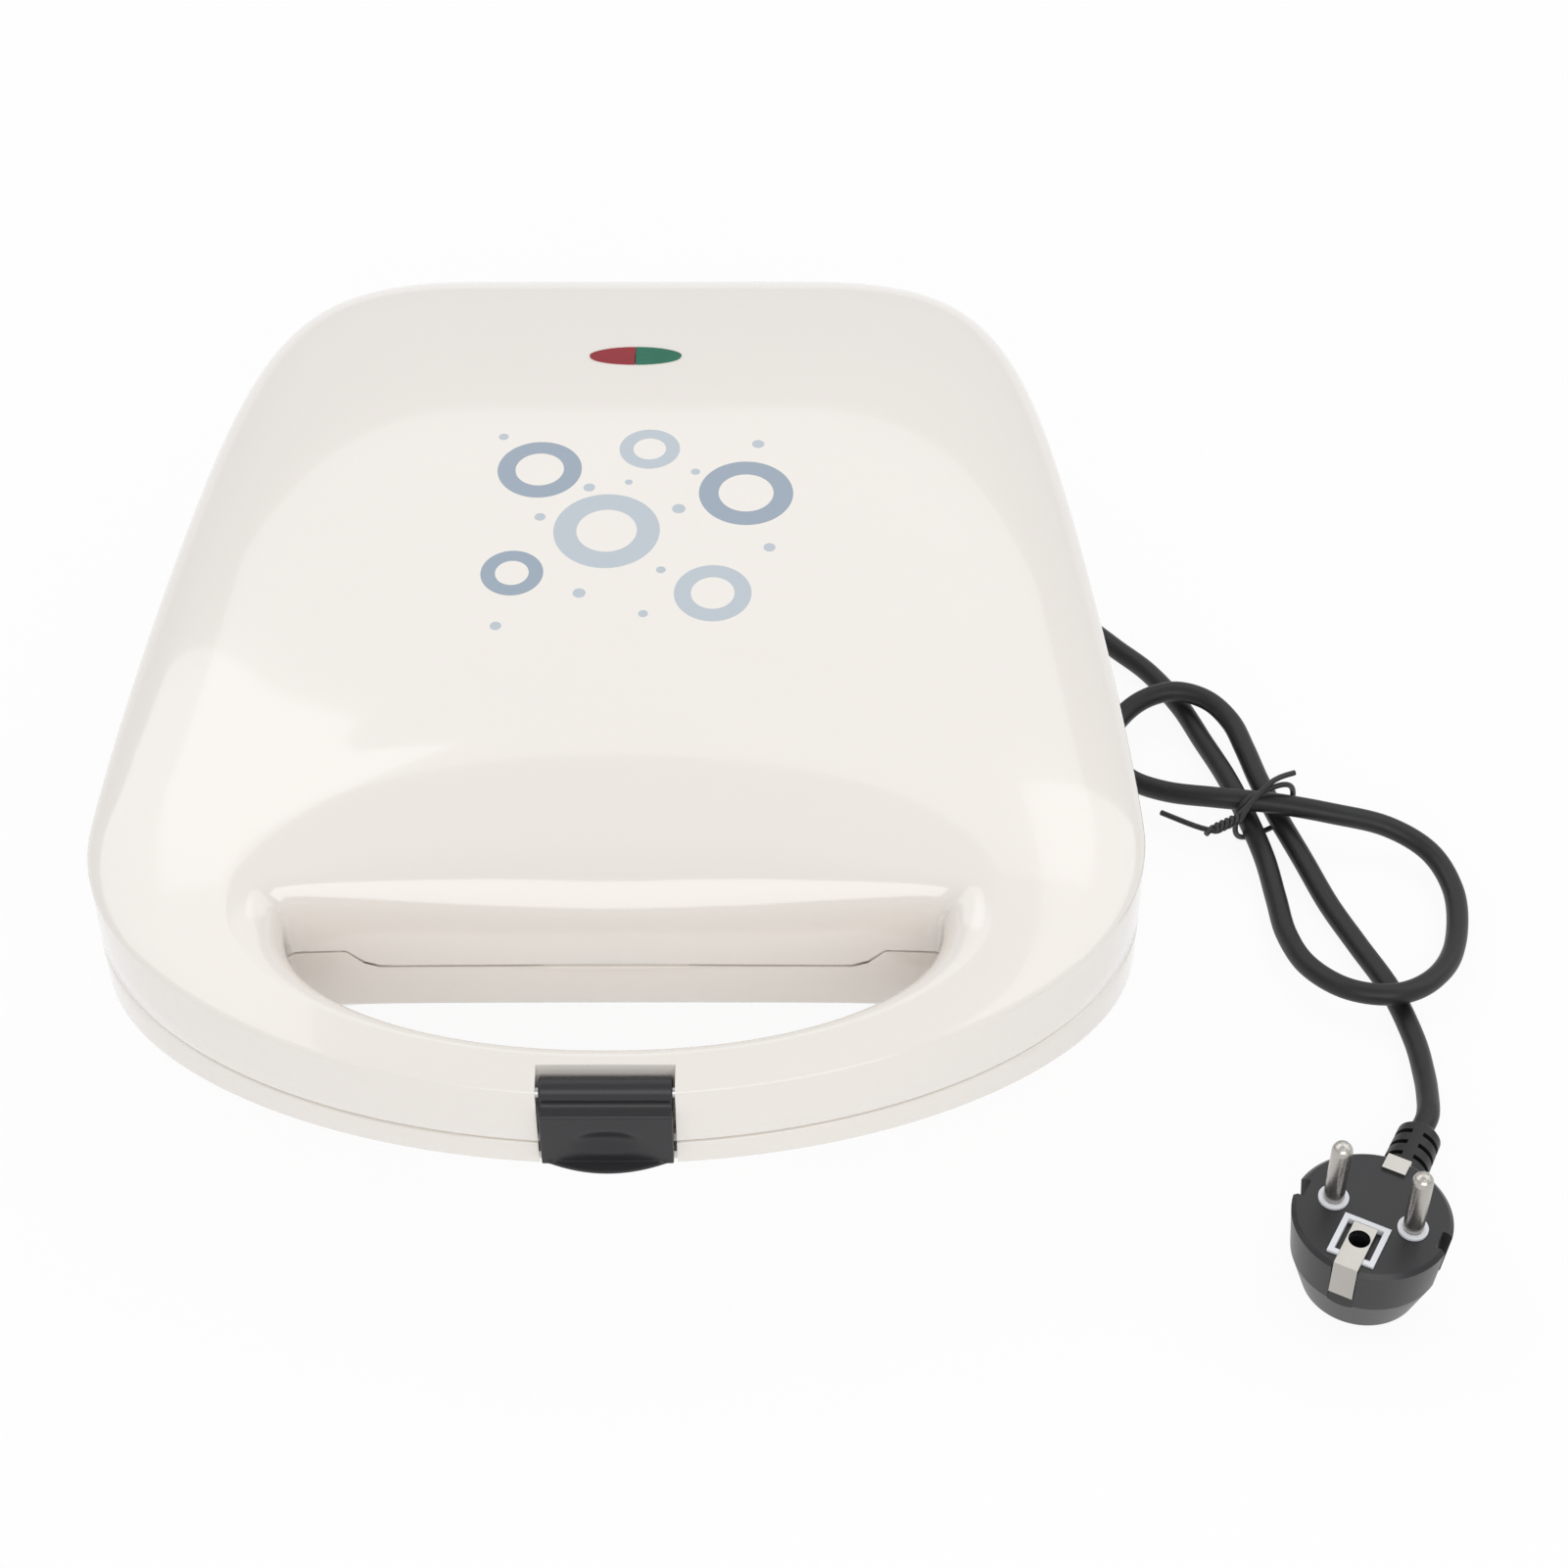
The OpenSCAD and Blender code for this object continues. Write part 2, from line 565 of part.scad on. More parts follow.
// --- Hinges ---
module hinge_brackets(up, width, gap) {
    for (x = HINGES) difference() {
        union() {
            translate([x - hinge_w / 2, body_l + slip, up > 0 ? parting_z + knuckle_r + 1.5
                : parting_z - knuckle_r - 1.5 - bracket_h]) cube([hinge_w, bracket_t, bracket_h]);
            for (dx = gap == 0 ? [0] : [-gap, gap]) translate([x + dx - width / 2, 0, 0]) {
                translate([0, hinge_y, parting_z]) rotate([0, 90, 0]) cylinder(r = knuckle_r, h = width);
                translate([0, body_l + slip, up > 0 ? parting_z + 2 : parting_z - knuckle_r - 3])
                    cube([width, hinge_back - slip, knuckle_r + 1]);
            }
        }
        translate([x - hinge_w, hinge_y, parting_z]) rotate([0, 90, 0])
            cylinder(r = hinge_pin_d / 2 + fit, h = 2 * hinge_w);
        for (dx = [-1, 1] * hinge_screw_dx) translate([x + dx, body_l - 1, parting_z + up * hinge_screw_h])
            rotate([-90, 0, 0]) cylinder(r = screw_r + slip, h = 10);
    }
}

module hinge_brackets_base() place() color("ivory") hinge_brackets(-1, ear_w, (hinge_w - ear_w) / 2);
module hinge_brackets_lid() place() color("ivory") hinge_brackets(1, hinge_w - 2 * ear_w - 2 * slip, 0);

module hinge_screws(up) place() color("gray")
    for (x = HINGES, dx = [-1, 1] * hinge_screw_dx)
        translate([x + dx, body_l + slip + bracket_t, parting_z + up * hinge_screw_h]) rotate([-90, 0, 0]) {
            cylinder(r = 2.2, h = 1.4);
            translate([0, 0, -bracket_t - wall - 1]) cylinder(r = screw_r, h = bracket_t + wall + 1.5);
        }

module hinge_pins() place() color("silver")
    for (x = HINGES) translate([x - hinge_w / 2, hinge_y, parting_z]) rotate([0, 90, 0])
        cylinder(d = hinge_pin_d, h = hinge_w);

// --- Latch ---
module latch() place() color("black") difference() {
    union() {
        translate([-latch_w / 2, latch_pin_y, latch_pin_z]) rotate([0, 90, 0])
            cylinder(r = latch_r, h = latch_w);
        translate([-latch_w / 2, 0, 0]) rotate([90, 0, 90]) linear_extrude(latch_w) polygon([
            [latch_pin_y - latch_r + 0.3, latch_pin_z - 1], [latch_face_y + 0.9, latch_pin_z - 4.2],
            [latch_face_y, latch_pin_z - 6.4], [latch_face_y, latch_z0], [latch_face_y + latch_t, latch_z0],
            [latch_face_y + latch_t, latch_pin_z - 7], [latch_pin_y + 1.5, latch_pin_z - 2.2],
            [latch_pin_y, latch_pin_z]]);
        translate([-catch_w / 2, latch_face_y + latch_t - 1, latch_z0]) cube([catch_w, 1.4, 1.5]);
        translate([0, 0, latch_z0 - 0.4]) linear_extrude(2) intersection() {
            translate([0, latch_face_y - lip_d + lip_r]) circle(lip_r, $fn = 96);
            translate([-latch_w / 2, latch_face_y - lip_d]) square([latch_w, lip_d + latch_t]);
        }
    }
    translate([-latch_w, latch_pin_y, latch_pin_z]) rotate([0, 90, 0])
        cylinder(r = latch_pin_d / 2 + fit, h = 2 * latch_w);
}

module latch_pin() place() color("silver")
    translate([-recess_half - 1.8, latch_pin_y, latch_pin_z]) rotate([0, 90, 0])
        cylinder(d = latch_pin_d, h = 2 * recess_half + 3.6);

// --- Lamps ---
module lens(s) place() {
    intersection() {
        union() {
            lens_bar(lens_z - 5, lens_z + 0.4, 0);
            lens_bar(lens_z - 5, lens_z - 3.8, 1.5);
        }
        translate([s > 0 ? lens_split : -lens_split - lens_l, lens_y - lens_w, lens_z - lens_w])
            cube([lens_l, 2 * lens_w, 2 * lens_w]);
    }
}

module red_lens() color("red") lens(-1);
module green_lens() color("green") lens(1);

module lamp_holder() place() color("white") difference() {
    translate([-lamp_holder_w / 2, lens_y - lamp_holder_l / 2, lens_z - 13.5])
        cube([lamp_holder_w, lamp_holder_l, lamp_holder_h]);
    for (x = [-lens_l / 4, lens_l / 4]) translate([x, lens_y, lens_z - cutter / 2])
        cylinder(r = 3.2, h = cutter);
}

module neon_lamps() place() color("orange")
    for (x = [-lens_l / 4, lens_l / 4]) translate([x, lens_y, lens_z - 15]) {
        cylinder(r = 3, h = 7);
        translate([0, 0, 7]) sphere(r = 3);
    }

// --- Cord ---
// A smooth curve through the points, sampled at even steps.
function curve_at(p, i, t) = let (n = len(p),
    a = p[max(i - 1, 0)], b = p[i], c = p[i + 1], d = p[min(i + 2, n - 1)])
    0.5 * (2 * b + (c - a) * t + (2 * a - 5 * b + 4 * c - d) * t * t + (3 * b - a - 3 * c + d) * t * t * t);
function curve(p) = [for (j = [0:CORD_SPANS])
    let (at = j * (len(p) - 1) / CORD_SPANS, i = min(floor(at), len(p) - 2))
    curve_at(p, i, at - i)];

module tube(path, d, sides, side_ref, closed = false) {
    n = len(path);
    rings = [for (i = [0:n - 1])
        let (before = closed ? path[(i + n - 1) % n] : path[max(i - 1, 0)],
            after = closed ? path[(i + 1) % n] : path[min(i + 1, n - 1)],
            t = unit(after - before), s = unit(cross(t, side_ref)), u = cross(s, t))
        [for (k = [0:sides - 1]) path[i] + d / 2 * (cos(360 * k / sides) * s + sin(360 * k / sides) * u)]];
    spans = closed ? n : n - 1;
    walls = [for (i = [0:spans - 1]) for (k = [0:sides - 1]) let (i2 = (i + 1) % n, k2 = (k + 1) % sides)
        [i * sides + k, i2 * sides + k, i2 * sides + k2, i * sides + k2]];
    caps = closed ? [] : [[for (k = [0:sides - 1]) k], [for (k = [sides - 1:-1:0]) (n - 1) * sides + k]];
    polyhedron([for (r = rings) each r], concat(walls, caps), convexity = 10);
}

// Turns a circle's sine or cosine into that of a rounded square.
function rounded(v) = sign(v) * pow(abs(v), 0.67);

module cord() place() color("black") tube(curve(ROUTE), cord_d, 10, [0, 0, 1]);

module twist_tie() place() color("black") translate(TIE_AT) rotate([0, 0, tie_turn]) {
    tube([for (a = [0:18:359]) [0, tie_w * rounded(cos(a)), tie_h * rounded(sin(a))]],
        tie_d, 8, [1, 0, 0], closed = true);
}

// --- Plug ---
module at_plug() { place() translate(PLUG_AT) rotate([0, 0, plug_turn]) children(); }

module plug_body() color("black") at_plug() difference() {
    union() {
        rotate_extrude($fn = 96) polygon([[0, 0], [plug_d / 2 - 6.8, 0], [plug_d / 2 - 4.6, 1.5],
            [plug_d / 2 - 1.1, plug_h / 2 - 0.5], [plug_d / 2, plug_h - 1], [plug_d / 2 - 1, plug_h],
            [0, plug_h]]);
        rotate([0, 0, outlet_turn - plug_turn]) translate([0, 0, outlet_z]) rotate([0, 90, 0])
            cylinder(r = outlet_r, h = outlet_at);
    }
    for (s = [-1, 1]) {
        translate([s * plug_d / 2, 0, plug_h / 2 + 10]) cube([5, 5, plug_h], center = true);
        translate([0, s * plug_d / 2, plug_h / 2 + 10]) cube([contact_w + 0.4, 3, plug_h], center = true);
        translate([s * pin_pitch / 2, 0, plug_h - 12]) cylinder(r = pin_d / 2 - pin_neck + fit, h = 20);
        translate([s * pin_pitch / 2, 0, plug_h - collar_depth]) cylinder(r = collar_r + fit, h = 10);
    }
    translate([0, -earth_off, plug_h - 18]) cylinder(r = 2.6, h = 30);
    translate([0, -earth_off, plug_h]) cube([frame_l + 0.2, frame_w + 0.2, 2], center = true);
}

module plug_face_frame() color("white") at_plug() translate([0, -earth_off, plug_h]) difference() {
    translate([0, 0, -0.2]) cube([frame_l, frame_w, 1.6], center = true);
    cube([frame_l - 2 * frame_wall, frame_w - 2 * frame_wall, 9], center = true);
    translate([-contact_w / 2 - fit, -frame_w, -fit]) cube([contact_w + 2 * fit, frame_w, 3]);
}

module plug_earth_contacts() color("silver") at_plug() difference() {
    union() {
        translate([-contact_w / 2, -plug_d / 2 + 0.5, strip_z])
            cube([contact_w, strip_t, plug_h - strip_z + strip_t]);
        translate([-contact_w / 2, -plug_d / 2 + 0.5, plug_h])
            cube([contact_w, plug_d / 2 - 0.5 - earth_off + frame_w / 2 - frame_wall - slip, strip_t]);
        translate([-contact_w / 2, plug_d / 2 - 0.5 - strip_t, strip_z])
            cube([contact_w, strip_t, plug_h - strip_z + strip_t]);
        translate([-contact_w / 2, plug_d / 2 - 5, plug_h]) cube([contact_w, 4.5, strip_t]);
    }
    translate([0, -earth_off, 0]) cylinder(r = 2.5, h = 2 * plug_h);
}

module plug_pins() color("silver") at_plug() for (s = [-1, 1])
    translate([s * pin_pitch / 2, 0, plug_h]) rotate_extrude()
        polygon([[0, -12], [pin_d / 2 - pin_neck, -12], [pin_d / 2 - pin_neck, pin_shoulder],
            [pin_d / 2, pin_shoulder],
            for (a = [0:15:90]) pin_d / 2 * [cos(a), sin(a)] + [0, pin_l - pin_d / 2]]);

module plug_pin_collars() color("white") at_plug() for (s = [-1, 1])
    translate([s * pin_pitch / 2, 0, plug_h - collar_depth]) difference() {
        cylinder(r = collar_r, h = collar_depth + collar_proud);
        translate([0, 0, -1]) cylinder(r = pin_d / 2 - pin_neck + fit, h = 9);
    }

module plug_strain_relief() color("black") at_plug() rotate([0, 0, outlet_turn - plug_turn])
    translate([outlet_at + eps, 0, outlet_z]) rotate([0, 90, 0]) difference() {
        union() {
            cylinder(r1 = outlet_r, r2 = outlet_r - 0.5, h = plug_relief_l - 1.2);
            translate([0, 0, plug_relief_l - 1.2])
                cylinder(r1 = outlet_r - 0.5, r2 = outlet_r - 1.5, h = 1.2);
        }
        for (i = [0:2]) translate([0, 0, relief_slot_at + i * 3.8]) difference() {
            cylinder(r = outlet_r + 1, h = 1.3);
            translate([0, 0, -1]) cylinder(r = relief_core_r, h = 4);
            cube([20, 2.6, 9], center = true);
        }
    }

base_shell();
feet();
reflector(-1);  // lower_reflector
reflector_screws(-1);  // reflector_screws_lower
plate(-1);  // lower_plate
plate_spacers(-1);  // plate_spacers_lower
plate_screws(-1);  // plate_screws_lower
heater(-1);  // lower_heater
thermostat();
thermal_fuse();
terminal_block();
cord_clamp();
cord_tail();
cord_gland();
hinge_brackets_base();
hinge_screws(-1);  // hinge_screws_base
hinge_pins();
lid_shell();
reflector(1);  // upper_reflector
reflector_screws(1);  // reflector_screws_upper
plate(1);  // upper_plate
plate_spacers(1);  // plate_spacers_upper
plate_screws(1);  // plate_screws_upper
heater(1);  // upper_heater
red_lens();
green_lens();
lamp_holder();
neon_lamps();
hinge_brackets_lid();
hinge_screws(1);  // hinge_screws_lid
latch();
latch_pin();
cord();
twist_tie();
plug_body();
plug_face_frame();
plug_pins();
plug_pin_collars();
plug_earth_contacts();
plug_strain_relief();
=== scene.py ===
"""A closed ring-donut maker with its tied cord and plug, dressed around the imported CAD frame."""

from __future__ import annotations

import json
import logging
import math
from dataclasses import dataclass
from enum import Enum
from typing import Callable, Sequence

import bmesh
import bpy
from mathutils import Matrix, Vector

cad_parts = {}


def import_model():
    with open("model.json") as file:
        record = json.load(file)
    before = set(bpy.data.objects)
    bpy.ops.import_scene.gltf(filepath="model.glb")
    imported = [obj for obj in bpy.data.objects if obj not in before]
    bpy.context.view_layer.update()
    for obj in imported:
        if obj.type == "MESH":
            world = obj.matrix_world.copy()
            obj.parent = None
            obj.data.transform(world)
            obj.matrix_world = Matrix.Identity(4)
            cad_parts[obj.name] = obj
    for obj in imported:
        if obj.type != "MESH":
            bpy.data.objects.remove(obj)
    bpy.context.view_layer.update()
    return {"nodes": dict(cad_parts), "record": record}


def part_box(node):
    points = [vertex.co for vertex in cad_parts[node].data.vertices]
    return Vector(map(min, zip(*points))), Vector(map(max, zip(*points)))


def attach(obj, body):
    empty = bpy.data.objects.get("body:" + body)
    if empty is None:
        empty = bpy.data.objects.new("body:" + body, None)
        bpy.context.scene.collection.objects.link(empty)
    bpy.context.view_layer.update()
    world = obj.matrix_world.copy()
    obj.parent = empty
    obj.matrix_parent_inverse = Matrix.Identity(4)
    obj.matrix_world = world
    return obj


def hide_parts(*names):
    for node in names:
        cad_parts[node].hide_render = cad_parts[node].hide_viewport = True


LOG = logging.getLogger("donut_maker")
MM = 0.001
# How far a ray is followed, in millimetres, and how often its stretch is halved to find an edge.
FAR = 400.0
HALVINGS = 22
Point = tuple[float, float, float]


class Half(Enum):
    """Which of the two shells a form belongs to."""

    LID = 1
    BASE = -1


# --- Shader graphs ---
class Wire:
    """A shader socket whose arithmetic adds Math nodes."""

    def __init__(self, graph: Graph, socket: bpy.types.NodeSocket) -> None:
        """Keeps the graph and the socket that it wraps."""
        self.graph = graph
        self.socket = socket

    def math(self, operation: str, *values: Wire | float) -> Wire:
        """Adds one Math node.

        Args:
            operation: The node's operation.
            values: The operands, in the node's order.

        Returns:
            The node's result.
        """
        node = self.graph.node("ShaderNodeMath", {"operation": operation}, dict(enumerate(values)))
        return Wire(self.graph, node.outputs[0])

    def __add__(self, other: Wire | float) -> Wire:
        """Sum."""
        return self.math("ADD", self, other)

    __radd__ = __add__

    def __mul__(self, other: Wire | float) -> Wire:
        """Product."""
        return self.math("MULTIPLY", self, other)

    __rmul__ = __mul__

    def __sub__(self, other: Wire | float) -> Wire:
        """Difference."""
        return self.math("SUBTRACT", self, other)

    def __rsub__(self, other: Wire | float) -> Wire:
        """Difference from a number."""
        return self.math("SUBTRACT", other, self)

    def __truediv__(self, other: Wire | float) -> Wire:
        """Quotient."""
        return self.math("DIVIDE", self, other)

    def __abs__(self) -> Wire:
        """Size without its sign."""
        return self.math("ABSOLUTE", self)

    def __lt__(self, other: Wire | float) -> Wire:
        """1 where this is less than the other, else 0."""
        return self.math("LESS_THAN", self, other)

    def larger(self, other: Wire | float) -> Wire:
        """The larger of the two."""
        return self.math("MAXIMUM", self, other)

    def root(self) -> Wire:
        """Square root."""
        return self.math("SQRT", self)


class Graph:
    """One material's node tree, with its Principled shader and output."""

    def __init__(self, name: str) -> None:
        """Makes an empty material with a Principled shader."""
        self.material = bpy.data.materials.new(name)
        self.material.use_nodes = True
        self.tree = self.material.node_tree
        self.tree.nodes.clear()
        self.shader = self.node("ShaderNodeBsdfPrincipled")
        self.output = self.node("ShaderNodeOutputMaterial", {}, {"Surface": self.shader.outputs[0]})

    def node(self, kind: str, settings: dict | None = None, inputs: dict | None = None) -> bpy.types.Node:
        """Adds one node.

        Args:
            kind: The node's type.
            settings: Its own properties, set first.
            inputs: Values or links of its sockets, by name or number.

        Returns:
            The new node.
        """
        made = self.tree.nodes.new(kind)
        for key, value in (settings or {}).items():
            setattr(made, key, value)
        self.feed(made, inputs or {})
        return made

    def feed(self, node: bpy.types.Node, inputs: dict) -> None:
        """Sets or links a node's sockets.

        Args:
            node: The node whose sockets are fed.
            inputs: Values, sockets or wires, by name or number.
        """
        for key, value in inputs.items():
            if isinstance(value, Wire):
                value = value.socket
            if isinstance(value, bpy.types.NodeSocket):
                self.tree.links.new(value, node.inputs[key])
            else:
                node.inputs[key].default_value = value

    def place(self) -> tuple[Wire, Wire, Wire]:
        """Object coordinates, split.

        Returns:
            X, Y and Z in metres.
        """
        split = self.node("ShaderNodeSeparateXYZ", {}, {0: self.coords()})
        return Wire(self, split.outputs[0]), Wire(self, split.outputs[1]), Wire(self, split.outputs[2])

    def coords(self) -> bpy.types.NodeSocket:
        """Object coordinates as a vector."""
        return self.node("ShaderNodeTexCoord").outputs["Object"]

    def noise(self, scale: float, detail: float = 3.0) -> Wire:
        """Noise from 0 to 1.

        Args:
            scale: Its repeats in a metre.
            detail: How many finer layers it has.

        Returns:
            The noise.
        """
        made = self.node("ShaderNodeTexNoise", {},
                         {"Vector": self.coords(), "Scale": scale, "Detail": detail})
        return Wire(self, made.outputs[0])

    def tint(self, amount: Wire | float, low: Sequence[float] | bpy.types.NodeSocket,
             high: Sequence[float]) -> bpy.types.NodeSocket:
        """Blends two colours.

        Args:
            amount: 0 for the first colour, 1 for the second.
            low: First colour, or the socket that gives it.
            high: Second colour.

        Returns:
            The colour's socket.
        """
        first = low if isinstance(low, bpy.types.NodeSocket) else (*low, 1.0)
        made = self.node("ShaderNodeMix", {"data_type": "RGBA"}, {0: amount, 6: first, 7: (*high, 1.0)})
        return made.outputs[2]

    def bump(self, height: Wire, depth_mm: float) -> bpy.types.NodeSocket:
        """A surface relief.

        Args:
            height: Height from 0 to 1.
            depth_mm: Depth of the relief in millimetres.

        Returns:
            The normal's socket.
        """
        return self.node("ShaderNodeBump", {}, {"Height": height, "Distance": depth_mm * MM}).outputs[0]


# --- Finishes ---
@dataclass(frozen=True)
class Moulded:
    """Moulded plastic or rubber with a faint mottle and a fine skin. Patch and grain are per metre."""

    name: str
    colour: tuple[float, float, float]
    roughness: float
    coat: float = 0.0
    coat_roughness: float = 0.04
    mottle: float = 0.03
    patch: float = 35.0
    grain: float = 900.0
    spread: float = 0.06
    depth_mm: float = 0.01
    shine: float = 0.5

    def colour_socket(self, graph: Graph) -> bpy.types.NodeSocket:
        """The colour with its mottle."""
        shade = tuple(c * (1 - self.mottle) for c in self.colour)
        return graph.tint(graph.noise(self.patch), shade, self.colour)

    def build(self) -> bpy.types.Material:
        """Makes the material.

        Returns:
            The material.
        """
        graph = Graph(self.name)
        rough = graph.noise(self.grain, 2.0) * self.spread + (self.roughness - self.spread / 2)
        graph.feed(graph.shader, {"Base Color": self.colour_socket(graph), "Roughness": rough,
                                  "Coat Weight": self.coat, "Coat Roughness": self.coat_roughness,
                                  "Specular IOR Level": self.shine,
                                  "Normal": graph.bump(graph.noise(self.grain), self.depth_mm)})
        return graph.material


@dataclass(frozen=True)
class Printed(Moulded):
    """The lid's plastic, with a pale printed scatter of plain rings and dots."""

    centre: tuple[float, float] = (0.0, 0.0)
    ink_dark: tuple[float, float, float] = (0.27, 0.34, 0.42)
    ink_pale: tuple[float, float, float] = (0.47, 0.53, 0.58)

    def disc(self, x: Wire, y: Wire, at: tuple[float, float], radius: float, band: float) -> Wire:
        """A ring, or a dot where the radius is 0.

        Args:
            x: Place across, in metres.
            y: Place along, in metres.
            at: The middle, in millimetres from the print's centre.
            radius: Middle radius of the band, in millimetres.
            band: Half the band's width, or a dot's radius, in millimetres.

        Returns:
            1 on the band, else 0.
        """
        dx = x - (self.centre[0] + at[0] * MM)
        dy = y - (self.centre[1] + at[1] * MM)
        return abs((dx * dx + dy * dy).root() - radius * MM) < band * MM

    @staticmethod
    def union(shapes: Sequence[Wire]) -> Wire:
        """1 where any of the shapes is, else 0."""
        whole = shapes[0]
        for shape in shapes[1:]:
            whole = whole.larger(shape)
        return whole

    def colour_socket(self, graph: Graph) -> bpy.types.NodeSocket:
        """The plastic's colour with the print on it."""
        x, y, _ = graph.place()
        # Place, radius and half width of each ring, in millimetres. They are dark and pale in turn.
        rings = [(-26, 21, 8.5, 2.3), (2, 29, 6.0, 1.8), (27, 12, 9.5, 2.5), (-8, -2, 10.5, 2.9),
                 (-31, -17, 6.0, 1.8), (19, -24, 7.5, 2.1)]
        dots = [(-13, 14, 1.5), (14, 20, 1.2), (10, 6, 1.7), (-25, 3, 1.4), (-14, -24, 1.6), (2, -31, 1.2),
                (33, -8, 1.5), (-3, 16, 1.0), (30, 31, 1.6), (-36, 34, 1.3), (6, -16, 1.2), (-34, -35, 1.4)]
        bands = [self.disc(x, y, (across, along), radius, half) for across, along, radius, half in rings]
        spots = [self.disc(x, y, (across, along), 0.0, radius) for across, along, radius in dots]
        inked = graph.tint(self.union(bands[1::2] + spots), super().colour_socket(graph), self.ink_pale)
        return graph.tint(self.union(bands[0::2]), inked, self.ink_dark)


@dataclass(frozen=True)
class Metal:
    """Rolled, drawn, plated or coated metal with fine streaks. Patch and streak are per metre."""

    name: str
    colour: tuple[float, float, float]
    roughness: float
    patch: float = 60.0
    streak: float = 1400.0
    wear: float = 0.14
    spread: float = 0.1
    depth_mm: float = 0.006
    metallic: float = 1.0

    def build(self) -> bpy.types.Material:
        """Makes the material.

        Returns:
            The material.
        """
        graph = Graph(self.name)
        worn = tuple(c * (1 - self.wear) for c in self.colour)
        rough = graph.noise(self.streak) * self.spread + (self.roughness - self.spread / 2)
        graph.feed(graph.shader, {"Base Color": graph.tint(graph.noise(self.patch), worn, self.colour),
                                  "Metallic": self.metallic, "Roughness": rough,
                                  "Normal": graph.bump(graph.noise(self.streak), self.depth_mm)})
        return graph.material


@dataclass(frozen=True)
class Tinted:
    """Clear tinted plastic or glass. Patch and grain are per metre."""

    name: str
    colour: tuple[float, float, float]
    clear: float = 0.35
    ior: float = 1.49
    roughness: float = 0.09
    spread: float = 0.04
    shade: float = 0.25
    patch: float = 260.0
    grain: float = 500.0

    def build(self) -> bpy.types.Material:
        """Makes the material.

        Returns:
            The material.
        """
        graph = Graph(self.name)
        deep = tuple(c * (1 - self.shade) for c in self.colour)
        rough = graph.noise(self.grain) * self.spread + (self.roughness - self.spread / 2)
        graph.feed(graph.shader, {"Base Color": graph.tint(graph.noise(self.patch), deep, self.colour),
                                  "Transmission Weight": self.clear, "IOR": self.ior, "Roughness": rough})
        return graph.material


# --- Meshes ---
def new_object(name: str, bm: bmesh.types.BMesh, material: bpy.types.Material,
               sharp_deg: float = 38.0) -> bpy.types.Object:
    """Turns a bmesh into an object at the origin.

    Args:
        name: The piece's name.
        bm: The mesh, in metres. It is freed.
        material: Its finish.
        sharp_deg: Edges that turn more than this stay sharp.

    Returns:
        The new object.
    """
    for face in bm.faces:
        face.smooth = True
    for edge in bm.edges:
        edge.smooth = len(edge.link_faces) == 2 and edge.calc_face_angle(0.0) < math.radians(sharp_deg)
    mesh = bpy.data.meshes.new(name)
    bm.to_mesh(mesh)
    bm.free()
    mesh.materials.append(material)
    made = bpy.data.objects.new(name, mesh)
    bpy.context.collection.objects.link(made)
    return made


def catmull(points: Sequence[Vector], steps: int) -> list[Vector]:
    """Points along a smooth curve through the given ones.

    Args:
        points: The points to pass through.
        steps: Points for each span.

    Returns:
        The curve's points.
    """
    out = []
    for i in range(len(points) - 1):
        a, b, c, d = (points[max(i - 1, 0)], points[i], points[i + 1], points[min(i + 2, len(points) - 1)])
        for j in range(steps):
            t = j / steps
            out.append(0.5 * (2 * b + (c - a) * t + (2 * a - 5 * b + 4 * c - d) * t * t
                              + (3 * b - a - 3 * c + d) * t ** 3))
    return out + [points[-1]]


def wire_object(name: str, points: Sequence[Vector], radius: float, material: bpy.types.Material,
                closed: bool = False) -> bpy.types.Object:
    """A round wire as a curve.

    Args:
        name: The piece's name.
        points: Its centreline, in metres.
        radius: Its radius, in metres.
        material: Its finish.
        closed: Whether its ends join.

    Returns:
        The new object.
    """
    data = bpy.data.curves.new(name, "CURVE")
    data.dimensions = "3D"
    data.bevel_depth = radius
    data.bevel_resolution = 5
    data.use_fill_caps = True
    line = data.splines.new("POLY")
    line.points.add(len(points) - 1)
    for spot, point in zip(line.points, points):
        spot.co = (*point, 1.0)
    line.use_cyclic_u = closed
    line.use_smooth = True
    data.materials.append(material)
    made = bpy.data.objects.new(name, data)
    bpy.context.collection.objects.link(made)
    return made


def carve(target: bpy.types.Object, cutter: bmesh.types.BMesh) -> None:
    """Cuts a closed shape out of a piece.

    Args:
        target: The piece that is cut.
        cutter: The shape that is taken away. It is freed.
    """
    mesh = bpy.data.meshes.new("cutter")
    cutter.to_mesh(mesh)
    cutter.free()
    tool = bpy.data.objects.new("cutter", mesh)
    bpy.context.collection.objects.link(tool)
    step = target.modifiers.new("cut", "BOOLEAN")
    step.operation = "DIFFERENCE"
    step.solver = "EXACT"
    step.object = tool
    with bpy.context.temp_override(object=target, active_object=target):
        bpy.ops.object.modifier_apply(modifier="cut")
    bpy.data.objects.remove(tool)


def block(low: Point, high: Point) -> bmesh.types.BMesh:
    """A closed box.

    Args:
        low: Lowest corner, in metres.
        high: Highest corner, in metres.

    Returns:
        The box.
    """
    bm = bmesh.new()
    bmesh.ops.create_cube(bm, size=1.0)
    size = Vector(high) - Vector(low)
    bmesh.ops.scale(bm, vec=size, verts=bm.verts)
    bmesh.ops.translate(bm, vec=(Vector(high) + Vector(low)) / 2, verts=bm.verts)
    return bm


